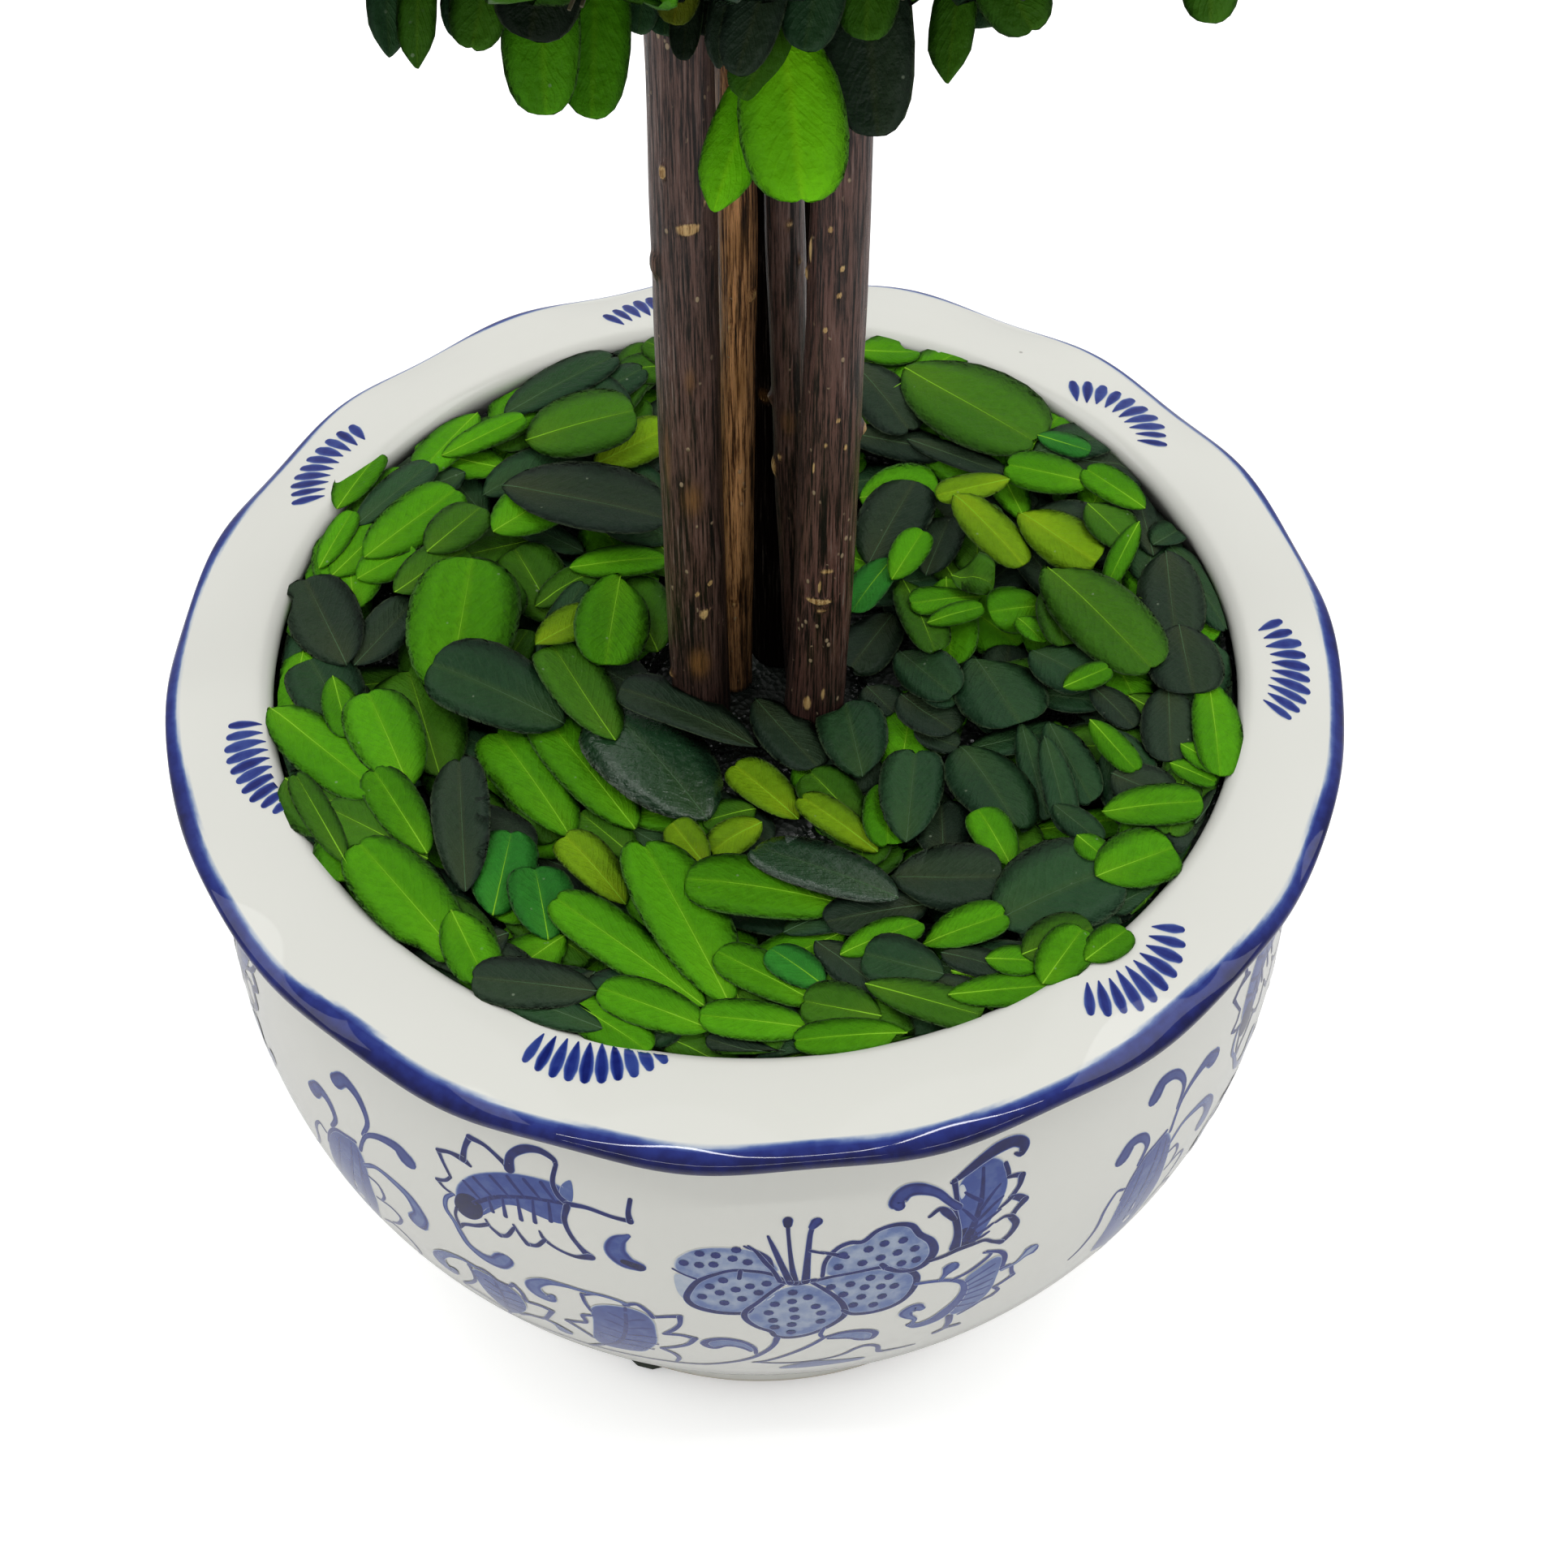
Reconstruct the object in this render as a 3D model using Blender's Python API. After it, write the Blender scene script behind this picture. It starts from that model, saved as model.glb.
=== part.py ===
"""A preserved boxwood ball topiary in a footed porcelain bowl, in metres, +Z up.

Five bare sticks rise out of a foam block inside the bowl and carry a clipped ball of
boxwood. Loose boxwood leaves cover the foam. The whole thing stands on four small pads,
and the origin is on the surface they stand on, below the middle of the bowl.
"""
import math
import random

import bmesh
import bpy
from mathutils import Matrix, Vector

# Driving dimensions of the bowl
RIM_RADIUS = 0.100
PAD_HEIGHT = 0.003
BOWL_HEIGHT = 0.140
WALL = 0.0052
LIP_RADIUS = 0.0817
BELLY_RADIUS = 0.096
NECK_RADIUS = 0.0905
FOOT_RADIUS = 0.0615
FOOT_HEIGHT = 0.017
RIM_WAVES = 16
RIM_WAVE_HEIGHT = 0.0009
RIM_WAVE_PHASE = math.radians(5.5)

# Heights worked out from them
FOOT_Z = PAD_HEIGHT
FOOT_TOP_Z = FOOT_Z + FOOT_HEIGHT
EDGE_Z = PAD_HEIGHT + BOWL_HEIGHT
BELLY_Z = EDGE_Z - 0.045
NECK_Z = EDGE_Z - 0.0065
LIP_Z = EDGE_Z + 0.0054
FLOOR_Z = FOOT_TOP_Z + 0.005
FOAM_TOP_Z = EDGE_Z - 0.010

# Filling and bed of laid leaves, which rises towards the wall of the bowl
GAP = 0.0003
BED_CORE_THICKNESS = 0.003
BED_RADIUS = 0.0842
BED_RISE = 0.004
BED_RISE_START = 0.058
BED_RISE_END = 0.080
LEAF_LENGTH = 0.0235
LEAF_WIDTH = 0.0135
LEAF_THICKNESS = 0.0012

# Each row of laid leaves: radius, number of leaves, least and greatest lean off the outward line
BED_ROWS = (
    (0.070, 46, 62, 110),
    (0.060, 38, 40, 95),
    (0.047, 28, 35, 95),
    (0.034, 20, 35, 95),
)

# Ball of foliage
BALL_CENTRE = Vector((0.0, 0.0, 0.388))
BALL_CORE_RADIUS = 0.086
BALL_REACH = 0.1065
REACH_SPREAD = 0.003
BALL_SPRIGS = 88
LEAVES_PER_SPRIG = 4
SPRIG_NUDGE = 0.12
LEAF_OFFSET = 0.0035
TWIG_RADIUS = 0.0015
SINK = 0.005

# Sticks: a bundle in the middle of the bowl that ends in a pocket of the ball
TRUNK_CENTRE = Vector((0.0008, 0.0025, 0.0))
TRUNK_HOLE_RADIUS = 0.0195
POCKET_DEPTH = 0.027
STICK_TOP_Z = BALL_CENTRE.z - BALL_CORE_RADIUS + POCKET_DEPTH - GAP
STICK_SIDES = 10
STICK_RINGS = 8
KNOT_SWELL = 0.06

# Each stick: foot (x, y), top (x, y), foot radius, top radius, bow (x, y), rings with a knot
STICKS = {
    "stick_front_left": ((-0.0095, 0.0005), (-0.0086, -0.0005), 0.0051, 0.0049, (-0.0008, 0.0), (3, 6)),
    "stick_front_right": ((0.0099, -0.0015), (0.0128, -0.0010), 0.0052, 0.0040, (0.0015, 0.0), (2, 5)),
    "stick_back_left": ((-0.0037, 0.0065), (-0.0020, 0.0045), 0.0027, 0.0027, (0.0008, 0.0002), (4,)),
    "stick_back_right": ((0.0079, 0.0070), (0.0042, 0.0050), 0.0027, 0.0027, (-0.0011, 0.0), (5,)),
    "stick_rear": ((0.0036, 0.0139), (0.0044, 0.0134), 0.0046, 0.0044, (0.0, 0.0003), (3,)),
}

# Four pads under the foot ring, the first one just left of the front
PAD_COUNT = 4
PAD_FIRST_ANGLE = math.radians(-22)
PAD_RING_RADIUS = 0.0560
PAD_RADIUS = 0.0060

BOWL_SEGMENTS = 4 * RIM_WAVES
PAD_SEGMENTS = 12
FOAM_SEGMENTS = 36


def clear_scene():
    for thing in list(bpy.data.objects):
        bpy.data.objects.remove(thing, do_unlink=True)


def material(name, colour, roughness, metallic=0.0):
    made = bpy.data.materials.new(name)
    made.use_nodes = True
    shader = made.node_tree.nodes["Principled BSDF"]
    shader.inputs["Base Color"].default_value = (*colour, 1.0)
    shader.inputs["Roughness"].default_value = roughness
    shader.inputs["Metallic"].default_value = metallic
    made.diffuse_color = (*colour, 1.0)
    return made


def add_object(name, shape, finish, smooth_angle=None):
    """Turn a bmesh into a named object with its material."""
    mesh = bpy.data.meshes.new(name)
    shape.to_mesh(mesh)
    shape.free()
    mesh.materials.append(finish)
    if smooth_angle is not None:
        mesh.shade_smooth()
        mesh.set_sharp_from_angle(angle=math.radians(smooth_angle))
    made = bpy.data.objects.new(name, mesh)
    bpy.context.scene.collection.objects.link(made)
    return made


def around(angle, radius, z):
    """A point at an angle from the front, positive to the right of it."""
    return Vector((radius * math.sin(angle), -radius * math.cos(angle), z))


def bezier(corners, steps, first=True):
    """Points on a cubic curve in (radius, height), with or without its first point."""
    points = []
    for step in range(0 if first else 1, steps + 1):
        t = step / steps
        weights = ((1 - t) ** 3, 3 * (1 - t) ** 2 * t, 3 * (1 - t) * t * t, t ** 3)
        radius = sum(weight * corner[0] for weight, corner in zip(weights, corners))
        height = sum(weight * corner[1] for weight, corner in zip(weights, corners))
        points.append((radius, height))
    return points


def turned(profile, segments):
    """Spin a profile of (radius, height) points about Z into a closed body."""
    shape = bmesh.new()
    corners = [shape.verts.new((radius, 0.0, height)) for radius, height in profile]
    edges = [shape.edges.new(pair) for pair in zip(corners, corners[1:])]
    bmesh.ops.spin(
        shape, geom=corners + edges, cent=(0, 0, 0), axis=(0, 0, 1),
        angle=math.tau, steps=segments, use_merge=True, use_duplicate=False)
    bmesh.ops.remove_doubles(shape, verts=shape.verts, dist=1e-6)
    bmesh.ops.recalc_face_normals(shape, faces=shape.faces)
    return shape


def bowl_outside():
    """The outer wall from the foot ring up to the neck under the flange."""
    foot = [
        (FOOT_RADIUS - 0.0007, FOOT_Z),
        (FOOT_RADIUS, FOOT_Z + 0.0008),
        (FOOT_RADIUS + 0.0008, FOOT_Z + 0.6 * FOOT_HEIGHT),
        (FOOT_RADIUS + 0.0025, FOOT_TOP_Z),
    ]
    bowl = bezier([foot[-1], (0.080, 0.040), (BELLY_RADIUS, 0.062), (BELLY_RADIUS, BELLY_Z)], 6, False)
    shoulder = bezier(
        [bowl[-1], (BELLY_RADIUS, BELLY_Z + 0.017), (0.0935, NECK_Z - 0.011), (NECK_RADIUS, NECK_Z)],
        3, False)
    return foot + bowl + shoulder


def bowl_inside():
    """The inner wall from below the lip down to the middle of the floor."""
    inner_belly = BELLY_RADIUS - WALL
    throat = [(LIP_RADIUS + 0.0011, LIP_Z - 0.0066), (NECK_RADIUS - WALL, NECK_Z - 0.003)]
    wall = bezier(
        [throat[-1], (inner_belly, NECK_Z - 0.020), (inner_belly, BELLY_Z + 0.010), (inner_belly, BELLY_Z)],
        2, False)
    bowl = bezier([wall[-1], (inner_belly, 0.062), (0.076, 0.036), (0.050, FLOOR_Z)], 4, False)
    return throat + wall + bowl + [(0.0, FLOOR_Z)]


def flange():
    """The sloping flange, its rounded painted edge and the soft inner lip."""
    return [
        (NECK_RADIUS + 0.0026, EDGE_Z - 0.0036),
        (RIM_RADIUS - 0.0014, EDGE_Z - 0.0018),
        (RIM_RADIUS, EDGE_Z),
        (RIM_RADIUS - 0.0012, EDGE_Z + 0.0018),
        (RIM_RADIUS - 0.0080, EDGE_Z + 0.0042),
        (LIP_RADIUS + 0.0040, LIP_Z),
        (LIP_RADIUS + 0.0014, LIP_Z - 0.0004),
        (LIP_RADIUS, LIP_Z - 0.0026),
    ]


def wave_rim(shape):
    """Lift and lower the flange in soft waves that fade out before the lip and the neck."""
    fade_start = 0.5 * (LIP_RADIUS + NECK_RADIUS)
    for corner in shape.verts:
        radius = math.hypot(corner.co.x, corner.co.y)
        if radius < fade_start or corner.co.z < NECK_Z + 0.001:
            continue
        weight = (radius - fade_start) / (RIM_RADIUS - fade_start)
        angle = math.atan2(corner.co.x, -corner.co.y)
        wave = math.cos(RIM_WAVES * (angle - RIM_WAVE_PHASE))
        corner.co.z += RIM_WAVE_HEIGHT * weight * wave


def make_pot(finish):
    recess_z = FOOT_Z + 0.010
    ring_width = 0.0065
    underside = [
        (0.0, recess_z),
        (FOOT_RADIUS - ring_width - 0.002, recess_z),
        (FOOT_RADIUS - ring_width, FOOT_Z),
    ]
    shape = turned(underside + bowl_outside() + flange() + bowl_inside(), BOWL_SEGMENTS)
    wave_rim(shape)
    return add_object("pot", shape, finish, 35)


def make_pads(finish):
    """Small domed pads glued under the foot ring."""
    flat_radius = PAD_RADIUS - 0.0016
    profile = [
        (0.0, 0.0),
        (flat_radius, 0.0),
        (PAD_RADIUS - 0.0005, 0.0009),
        (PAD_RADIUS, 0.0020),
        (PAD_RADIUS - 0.0003, PAD_HEIGHT - GAP),
        (0.0, PAD_HEIGHT - GAP),
    ]
    for index in range(PAD_COUNT):
        angle = PAD_FIRST_ANGLE + index * math.tau / PAD_COUNT
        shape = turned(profile, PAD_SEGMENTS)
        bmesh.ops.translate(shape, verts=shape.verts, vec=around(angle, PAD_RING_RADIUS, 0.0))
        add_object(f"foot_pad_{index + 1}", shape, finish, 35)


def make_foam(finish):
    """The block that fills the bowl and holds the sticks, cut flat on top."""
    inside = [point for point in bowl_inside() if point[1] < FOAM_TOP_Z and point[0] > 0.0]
    profile = [(0.0, FOAM_TOP_Z), (NECK_RADIUS - WALL - GAP, FOAM_TOP_Z)]
    profile += [(radius - 1.5 * GAP, height + 2 * GAP) for radius, height in inside]
    profile.append((0.0, FLOOR_Z + 2 * GAP))
    return add_object("foam_block", turned(profile, FOAM_SEGMENTS), finish, 35)


def stick_shape(foot, top, foot_radius, top_radius, bow, knots):
    """A tapering stick with flat ends: foot and top are (x, y), bow bends its middle."""
    shape = bmesh.new()
    foot_z = FOAM_TOP_Z + GAP
    made = bmesh.ops.create_circle(shape, segments=STICK_SIDES, radius=1.0, cap_ends=False)
    loop = list({edge for corner in made["verts"] for edge in corner.link_edges})
    ring_corners = [made["verts"]]
    for _ in range(STICK_RINGS):
        grown = bmesh.ops.extrude_edge_only(shape, edges=loop)["geom"]
        loop = [item for item in grown if isinstance(item, bmesh.types.BMEdge)]
        ring_corners.append([item for item in grown if isinstance(item, bmesh.types.BMVert)])
    for ring, corners in enumerate(ring_corners):
        share = ring / STICK_RINGS
        radius = foot_radius + (top_radius - foot_radius) * share
        if ring in knots:
            radius *= 1.0 + KNOT_SWELL
        bend = 4.0 * share * (1.0 - share)
        centre_x = foot[0] + (top[0] - foot[0]) * share + bow[0] * bend
        centre_y = foot[1] + (top[1] - foot[1]) * share + bow[1] * bend
        z = foot_z + (STICK_TOP_Z - foot_z) * share
        for corner in corners:
            turn = math.atan2(corner.co.y, corner.co.x)
            corner.co = (centre_x + radius * math.cos(turn), centre_y + radius * math.sin(turn), z)
    bmesh.ops.holes_fill(shape, edges=shape.edges)
    bmesh.ops.recalc_face_normals(shape, faces=shape.faces)
    return shape


def make_sticks(bark, pale_bark):
    """Two thick sticks in front, two thin ones set back between them and a thick one behind."""
    for name, sizes in STICKS.items():
        finish = pale_bark if name == "stick_back_left" else bark
        add_object(name, stick_shape(*sizes), finish, 50)


def leaf_corners(length, width, thickness):
    """Root, left, tip, right, crown and belly of a leaf that lies along +Y, facing +Z."""
    widest = 0.58 * length
    cup = 0.08 * width
    return (
        Vector((0.0, 0.0, 0.0)),
        Vector((-0.5 * width, widest, cup)),
        Vector((0.0, length, 0.0)),
        Vector((0.5 * width, widest, cup)),
        Vector((0.0, widest, 0.4 * thickness)),
        Vector((0.0, widest, -0.6 * thickness)),
    )


def leaf_matrix(root, direction, facing):
    """Place a leaf with its root at a point, pointing along direction, its face turned to facing."""
    along = direction.normalized()
    side = along.cross(facing).normalized()
    normal = side.cross(along)
    turned_axes = Matrix((side, along, normal)).transposed()
    return Matrix.Translation(root) @ turned_axes.to_4x4()


def add_leaf(collection, finish, root, direction, facing, size=1.0):
    """A closed leaf of eight faces."""
    place = leaf_matrix(root, direction, facing)
    shape = bmesh.new()
    points = leaf_corners(LEAF_LENGTH * size, LEAF_WIDTH * size, LEAF_THICKNESS)
    root_at, left, tip, right, crown, belly = [shape.verts.new(place @ point) for point in points]
    outline = (root_at, left, tip, right)
    for here, there in zip(outline, outline[1:] + outline[:1]):
        shape.faces.new((crown, there, here))
        shape.faces.new((belly, here, there))
    bmesh.ops.recalc_face_normals(shape, faces=shape.faces)
    made = add_object("leaf_solid", shape, finish)
    move_to(collection, made)


def add_twig(collection, finish, start, end, radius):
    """A three-sided twig that thins towards its end."""
    shape = bmesh.new()
    length = (end - start).length
    bmesh.ops.create_cone(
        shape, cap_ends=True, segments=3, radius1=radius, radius2=0.55 * radius, depth=length)
    turn = Vector((0, 0, 1)).rotation_difference(end - start).to_matrix().to_4x4()
    shape.transform(Matrix.Translation(0.5 * (start + end)) @ turn)
    move_to(collection, add_object("twig_solid", shape, finish))


def move_to(collection, made):
    bpy.context.scene.collection.objects.unlink(made)
    collection.objects.link(made)


def new_collection(name):
    made = bpy.data.collections.new(name)
    bpy.context.scene.collection.children.link(made)
    return made


def signed_volume(faces):
    """Six times the volume inside a shell, negative for a sealed hollow."""
    total = 0.0
    for face in faces:
        first = face.verts[0].co
        for one, two in zip(face.verts[1:], face.verts[2:]):
            total += first.dot(one.co.cross(two.co))
    return total


def keep_outer_shell(mesh):
    """Fill sealed hollows and drop loose scraps: only the largest shell stays."""
    shape = bmesh.new()
    shape.from_mesh(mesh)
    waiting = set(shape.faces)
    shells = []
    while waiting:
        shell = [waiting.pop()]
        for face in shell:
            for edge in face.edges:
                for other in edge.link_faces:
                    if other in waiting:
                        waiting.discard(other)
                        shell.append(other)
        shells.append(shell)
    shells.sort(key=signed_volume)
    spare = [face for shell in shells[:-1] for face in shell]
    bmesh.ops.delete(shape, geom=spare, context="FACES")
    shape.to_mesh(mesh)
    shape.free()


def join_mass(core, collection):
    """Fuse a core with every leaf and twig of a collection, then remove those."""
    union = core.modifiers.new("join", "BOOLEAN")
    union.operation = "UNION"
    union.operand_type = "COLLECTION"
    union.collection = collection
    union.solver = "EXACT"
    scene_state = bpy.context.evaluated_depsgraph_get()
    joined = bpy.data.meshes.new_from_object(core.evaluated_get(scene_state))
    core.modifiers.clear()
    joined.name = core.name
    core.data = joined
    keep_outer_shell(joined)
    for solid in list(collection.objects):
        bpy.data.objects.remove(solid, do_unlink=True)
    bpy.data.collections.remove(collection)


def outside_trunk(points):
    """True where every point keeps clear of the bundle of sticks."""
    for point in points:
        if math.hypot(point.x - TRUNK_CENTRE.x, point.y - TRUNK_CENTRE.y) < TRUNK_HOLE_RADIUS:
            return False
    return True


def below_lip(points):
    """True where every point keeps inside the throat of the bowl and below the flange's top."""
    for point in points:
        limit = LIP_RADIUS - 0.001 if point.z > EDGE_Z - 0.003 else BED_RADIUS
        if math.hypot(point.x, point.y) > limit or point.z > LIP_Z + 0.002:
            return False
    return True


def bed_rise(radius):
    """How much the bed is raised at a radius: nothing in the middle, most near the wall."""
    share = (radius - BED_RISE_START) / (BED_RISE_END - BED_RISE_START)
    return BED_RISE * min(max(share, 0.0), 1.0)


def make_leaf_bed(finish):
    """A thin ring of moss backing with boxwood leaves laid over it in leaning layers."""
    draw = random.Random(11)
    base_z = FOAM_TOP_Z + GAP
    top_z = base_z + BED_CORE_THICKNESS
    ring = [
        (TRUNK_HOLE_RADIUS, base_z),
        (BED_RADIUS, base_z),
        (BED_RISE_END, top_z + BED_RISE),
        (BED_RISE_START, top_z),
        (TRUNK_HOLE_RADIUS, top_z),
        (TRUNK_HOLE_RADIUS, base_z),
    ]
    shape = turned(ring, 40)
    core = add_object("leaf_bed", shape, finish)
    leaves = new_collection("bed_leaves")
    for row, (row_radius, count, least_lean, greatest_lean) in enumerate(BED_ROWS):
        for index in range(count):
            angle = math.tau * (index + 0.5 * (row % 2) + draw.uniform(-0.2, 0.2)) / count
            radius = row_radius + draw.uniform(-0.003, 0.003)
            root = around(angle, radius, top_z + bed_rise(radius) - 0.0016)
            lean = angle + math.radians(draw.uniform(least_lean, greatest_lean))
            flat = around(lean, 1.0, 0.0)
            direction = flat + Vector((0, 0, math.tan(math.radians(draw.uniform(10, 22)))))
            size = draw.uniform(0.85, 1.08)
            place = leaf_matrix(root, direction, Vector((0, 0, 1)))
            corners = leaf_corners(LEAF_LENGTH * size, LEAF_WIDTH * size, LEAF_THICKNESS)
            points = [place @ corner for corner in corners]
            if outside_trunk(points) and below_lip(points):
                add_leaf(leaves, finish, root, direction, Vector((0, 0, 1)), size)
    join_mass(core, leaves)
    return core


def ball_core(finish):
    """The hidden ball of moss and wire, with a pocket that takes the tops of the sticks."""
    shape = bmesh.new()
    bmesh.ops.create_icosphere(shape, subdivisions=2, radius=BALL_CORE_RADIUS)
    bmesh.ops.translate(shape, verts=shape.verts, vec=BALL_CENTRE)
    core = add_object("leaf_ball", shape, finish)
    pocket = bmesh.new()
    pocket_top = STICK_TOP_Z + GAP
    depth = 0.060
    bmesh.ops.create_cone(
        pocket, cap_ends=True, segments=24, radius1=TRUNK_HOLE_RADIUS, radius2=TRUNK_HOLE_RADIUS,
        depth=depth)
    bmesh.ops.translate(
        pocket, verts=pocket.verts, vec=TRUNK_CENTRE + Vector((0, 0, pocket_top - 0.5 * depth)))
    cutter = add_object("pocket_cutter", pocket, finish)
    cut = core.modifiers.new("pocket", "BOOLEAN")
    cut.operation = "DIFFERENCE"
    cut.object = cutter
    cut.solver = "EXACT"
    scene_state = bpy.context.evaluated_depsgraph_get()
    core.data = bpy.data.meshes.new_from_object(core.evaluated_get(scene_state))
    core.modifiers.clear()
    bpy.data.objects.remove(cutter, do_unlink=True)
    return core


def sprig_directions(count, draw):
    """Directions spread evenly over a sphere, each one a little off its place."""
    golden = math.pi * (3.0 - math.sqrt(5.0))
    for index in range(count):
        up = 1.0 - (2.0 * index + 1.0) / count
        flat = math.sqrt(1.0 - up * up)
        exact = Vector((flat * math.cos(golden * index), flat * math.sin(golden * index), up))
        nudge = Vector([draw.uniform(-SPRIG_NUDGE, SPRIG_NUDGE) for _ in range(3)])
        yield (exact + nudge).normalized()


def length_to_reach(root, direction, reach):
    """How long a leaf must be for its tip to lie at a distance from the middle of the ball."""
    from_middle = root - BALL_CENTRE
    along = from_middle.dot(direction)
    return math.sqrt(along * along - from_middle.length_squared + reach * reach) - along


def make_leaf_ball(finish):
    """A clipped ball: short twigs stand out of its core, each ringed by leaves that splay outwards.

    Every second leaf stands steeply and ends on the clipped surface, the others lie lower.
    """
    draw = random.Random(5)
    core = ball_core(finish)
    leaves = new_collection("ball_leaves")
    for axis in sprig_directions(BALL_SPRIGS, draw):
        start = BALL_CENTRE + axis * (BALL_CORE_RADIUS - SINK)
        end = BALL_CENTRE + axis * (BALL_CORE_RADIUS + draw.uniform(0.010, 0.016))
        if outside_trunk([start, end]) or axis.z > 0.0:
            add_twig(leaves, finish, start, end, TWIG_RADIUS)
        side = axis.orthogonal().normalized()
        spin = draw.uniform(0.0, math.tau)
        for index in range(LEAVES_PER_SPRIG):
            turn = Matrix.Rotation(spin + index * math.tau / LEAVES_PER_SPRIG, 3, axis)
            outward = turn @ side
            steep = index % 2 == 1
            splay = math.radians(draw.uniform(24, 40) if steep else draw.uniform(48, 62))
            direction = axis * math.cos(splay) + outward * math.sin(splay)
            facing = axis * math.sin(splay) - outward * math.cos(splay)
            root = BALL_CENTRE + axis * (BALL_CORE_RADIUS - SINK) + outward * LEAF_OFFSET
            if steep:
                reach = BALL_REACH - draw.uniform(0.0, REACH_SPREAD)
                size = length_to_reach(root, direction, reach) / LEAF_LENGTH
            else:
                size = draw.uniform(0.95, 1.18)
            place = leaf_matrix(root, direction, facing)
            corners = leaf_corners(LEAF_LENGTH * size, LEAF_WIDTH * size, LEAF_THICKNESS)
            points = [place @ corner for corner in corners]
            farthest = max((point - BALL_CENTRE).length for point in points)
            clear = outside_trunk(points) or axis.z > -0.2
            if clear and farthest <= BALL_REACH:
                add_leaf(leaves, finish, root, direction, facing, size)
    join_mass(core, leaves)
    return core


def build():
    clear_scene()
    glaze = material("glazed_porcelain", (0.86, 0.87, 0.84), 0.12)
    rubber = material("dark_rubber", (0.02, 0.03, 0.02), 0.55)
    foam = material("dark_foam", (0.015, 0.02, 0.015), 0.75)
    bark = material("purple_brown_bark", (0.075, 0.045, 0.040), 0.45)
    pale_bark = material("orange_brown_bark", (0.20, 0.085, 0.035), 0.45)
    bed_green = material("laid_leaves", (0.075, 0.24, 0.02), 0.45)
    ball_green = material("clipped_leaves", (0.06, 0.21, 0.02), 0.5)
    make_pot(glaze)
    make_pads(rubber)
    make_foam(foam)
    make_sticks(bark, pale_bark)
    make_leaf_bed(bed_green)
    make_leaf_ball(ball_green)


build()
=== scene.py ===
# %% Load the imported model
import itertools
import math
import random

import bmesh
import bpy
import numpy as np
from mathutils import Matrix, Vector, noise


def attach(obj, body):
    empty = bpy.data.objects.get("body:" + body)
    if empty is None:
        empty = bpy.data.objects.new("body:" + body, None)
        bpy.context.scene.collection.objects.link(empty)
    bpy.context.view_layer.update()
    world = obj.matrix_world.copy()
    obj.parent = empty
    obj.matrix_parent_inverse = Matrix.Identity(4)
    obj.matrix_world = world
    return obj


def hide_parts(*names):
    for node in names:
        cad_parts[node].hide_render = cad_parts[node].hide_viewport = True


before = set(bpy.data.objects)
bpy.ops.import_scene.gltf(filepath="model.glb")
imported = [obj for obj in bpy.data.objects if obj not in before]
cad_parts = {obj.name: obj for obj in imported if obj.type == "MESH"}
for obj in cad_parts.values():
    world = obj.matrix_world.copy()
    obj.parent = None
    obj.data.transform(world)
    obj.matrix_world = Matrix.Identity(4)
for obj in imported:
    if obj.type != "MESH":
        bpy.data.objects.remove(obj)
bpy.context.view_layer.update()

scene = bpy.context.scene

# %% [markdown]
# # A preserved boxwood topiary in a blue and white bowl
# The real object is a ball of clipped, preserved boxwood on a bundle of five bare sticks.
# The sticks stand in dark foam inside a footed porcelain bowl, and loose boxwood leaves hide
# the foam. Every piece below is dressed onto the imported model: the bowl is turned again with
# more steps and painted, the sticks get bark, and thousands of separate leaves replace the
# plain masses.
#
# The camera comes first. It looks down at the bowl from the front, so the ball is almost
# wholly above the picture. A photograph taken from close by is best matched by placing a
# real camera, with its own focal length, and not by turning the object.

# %% Camera
IMAGE_SIZE = 1932
FOCAL_PIXELS = 3600
SENSOR_WIDTH = 36.0
CAMERA_PLACE = Vector((0.0048, -0.33098, 0.51827))
CAMERA_PITCH = math.radians(50.8)

camera_data = bpy.data.cameras.new("camera")
camera_data.sensor_width = SENSOR_WIDTH
camera_data.lens = FOCAL_PIXELS / IMAGE_SIZE * SENSOR_WIDTH
camera_data.clip_start = 0.01
camera = bpy.data.objects.new("camera", camera_data)
camera.location = CAMERA_PLACE
camera.rotation_euler = (math.radians(90) - CAMERA_PITCH, 0, 0)
scene.collection.objects.link(camera)
scene.camera = camera

FORWARD = Vector((0, math.cos(CAMERA_PITCH), -math.sin(CAMERA_PITCH)))
DOWNWARD = Vector((0, -math.sin(CAMERA_PITCH), -math.cos(CAMERA_PITCH)))
RIGHTWARD = Vector((1, 0, 0))


def sight_line(across, down):
    """The direction from the camera through a pixel of the 1932 pixel picture."""
    half = 0.5 * IMAGE_SIZE
    return (FORWARD + RIGHTWARD * ((across - half) / FOCAL_PIXELS)
            + DOWNWARD * ((down - half) / FOCAL_PIXELS))


def pixel_of(point):
    """The pixel at which the camera sees a point."""
    ray = Vector(point) - CAMERA_PLACE
    depth = ray.dot(FORWARD)
    half = 0.5 * IMAGE_SIZE
    return (half + FOCAL_PIXELS * ray.dot(RIGHTWARD) / depth,
            half + FOCAL_PIXELS * ray.dot(DOWNWARD) / depth)


RIM_MIDDLE = (0, 0, 0.143)
print("lens in mm:", round(camera_data.lens, 2), "middle of the rim at pixel", pixel_of(RIM_MIDDLE))

# %% [markdown]
# Product photographs of glossy ware are lit by large soft panels, with a few narrow strips
# that draw thin highlights along a glazed edge. Area lights do both, and the top one isn't
# mirrored, because its outline would show on the flange. The world gives the even white
# surroundings. The floor is plain and pale and looks white to the camera, with only a faint
# shadow under the bowl, but it throws less light back up at the bowl's belly than so white a
# floor would, because in the photograph that side is dimmer.

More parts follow.
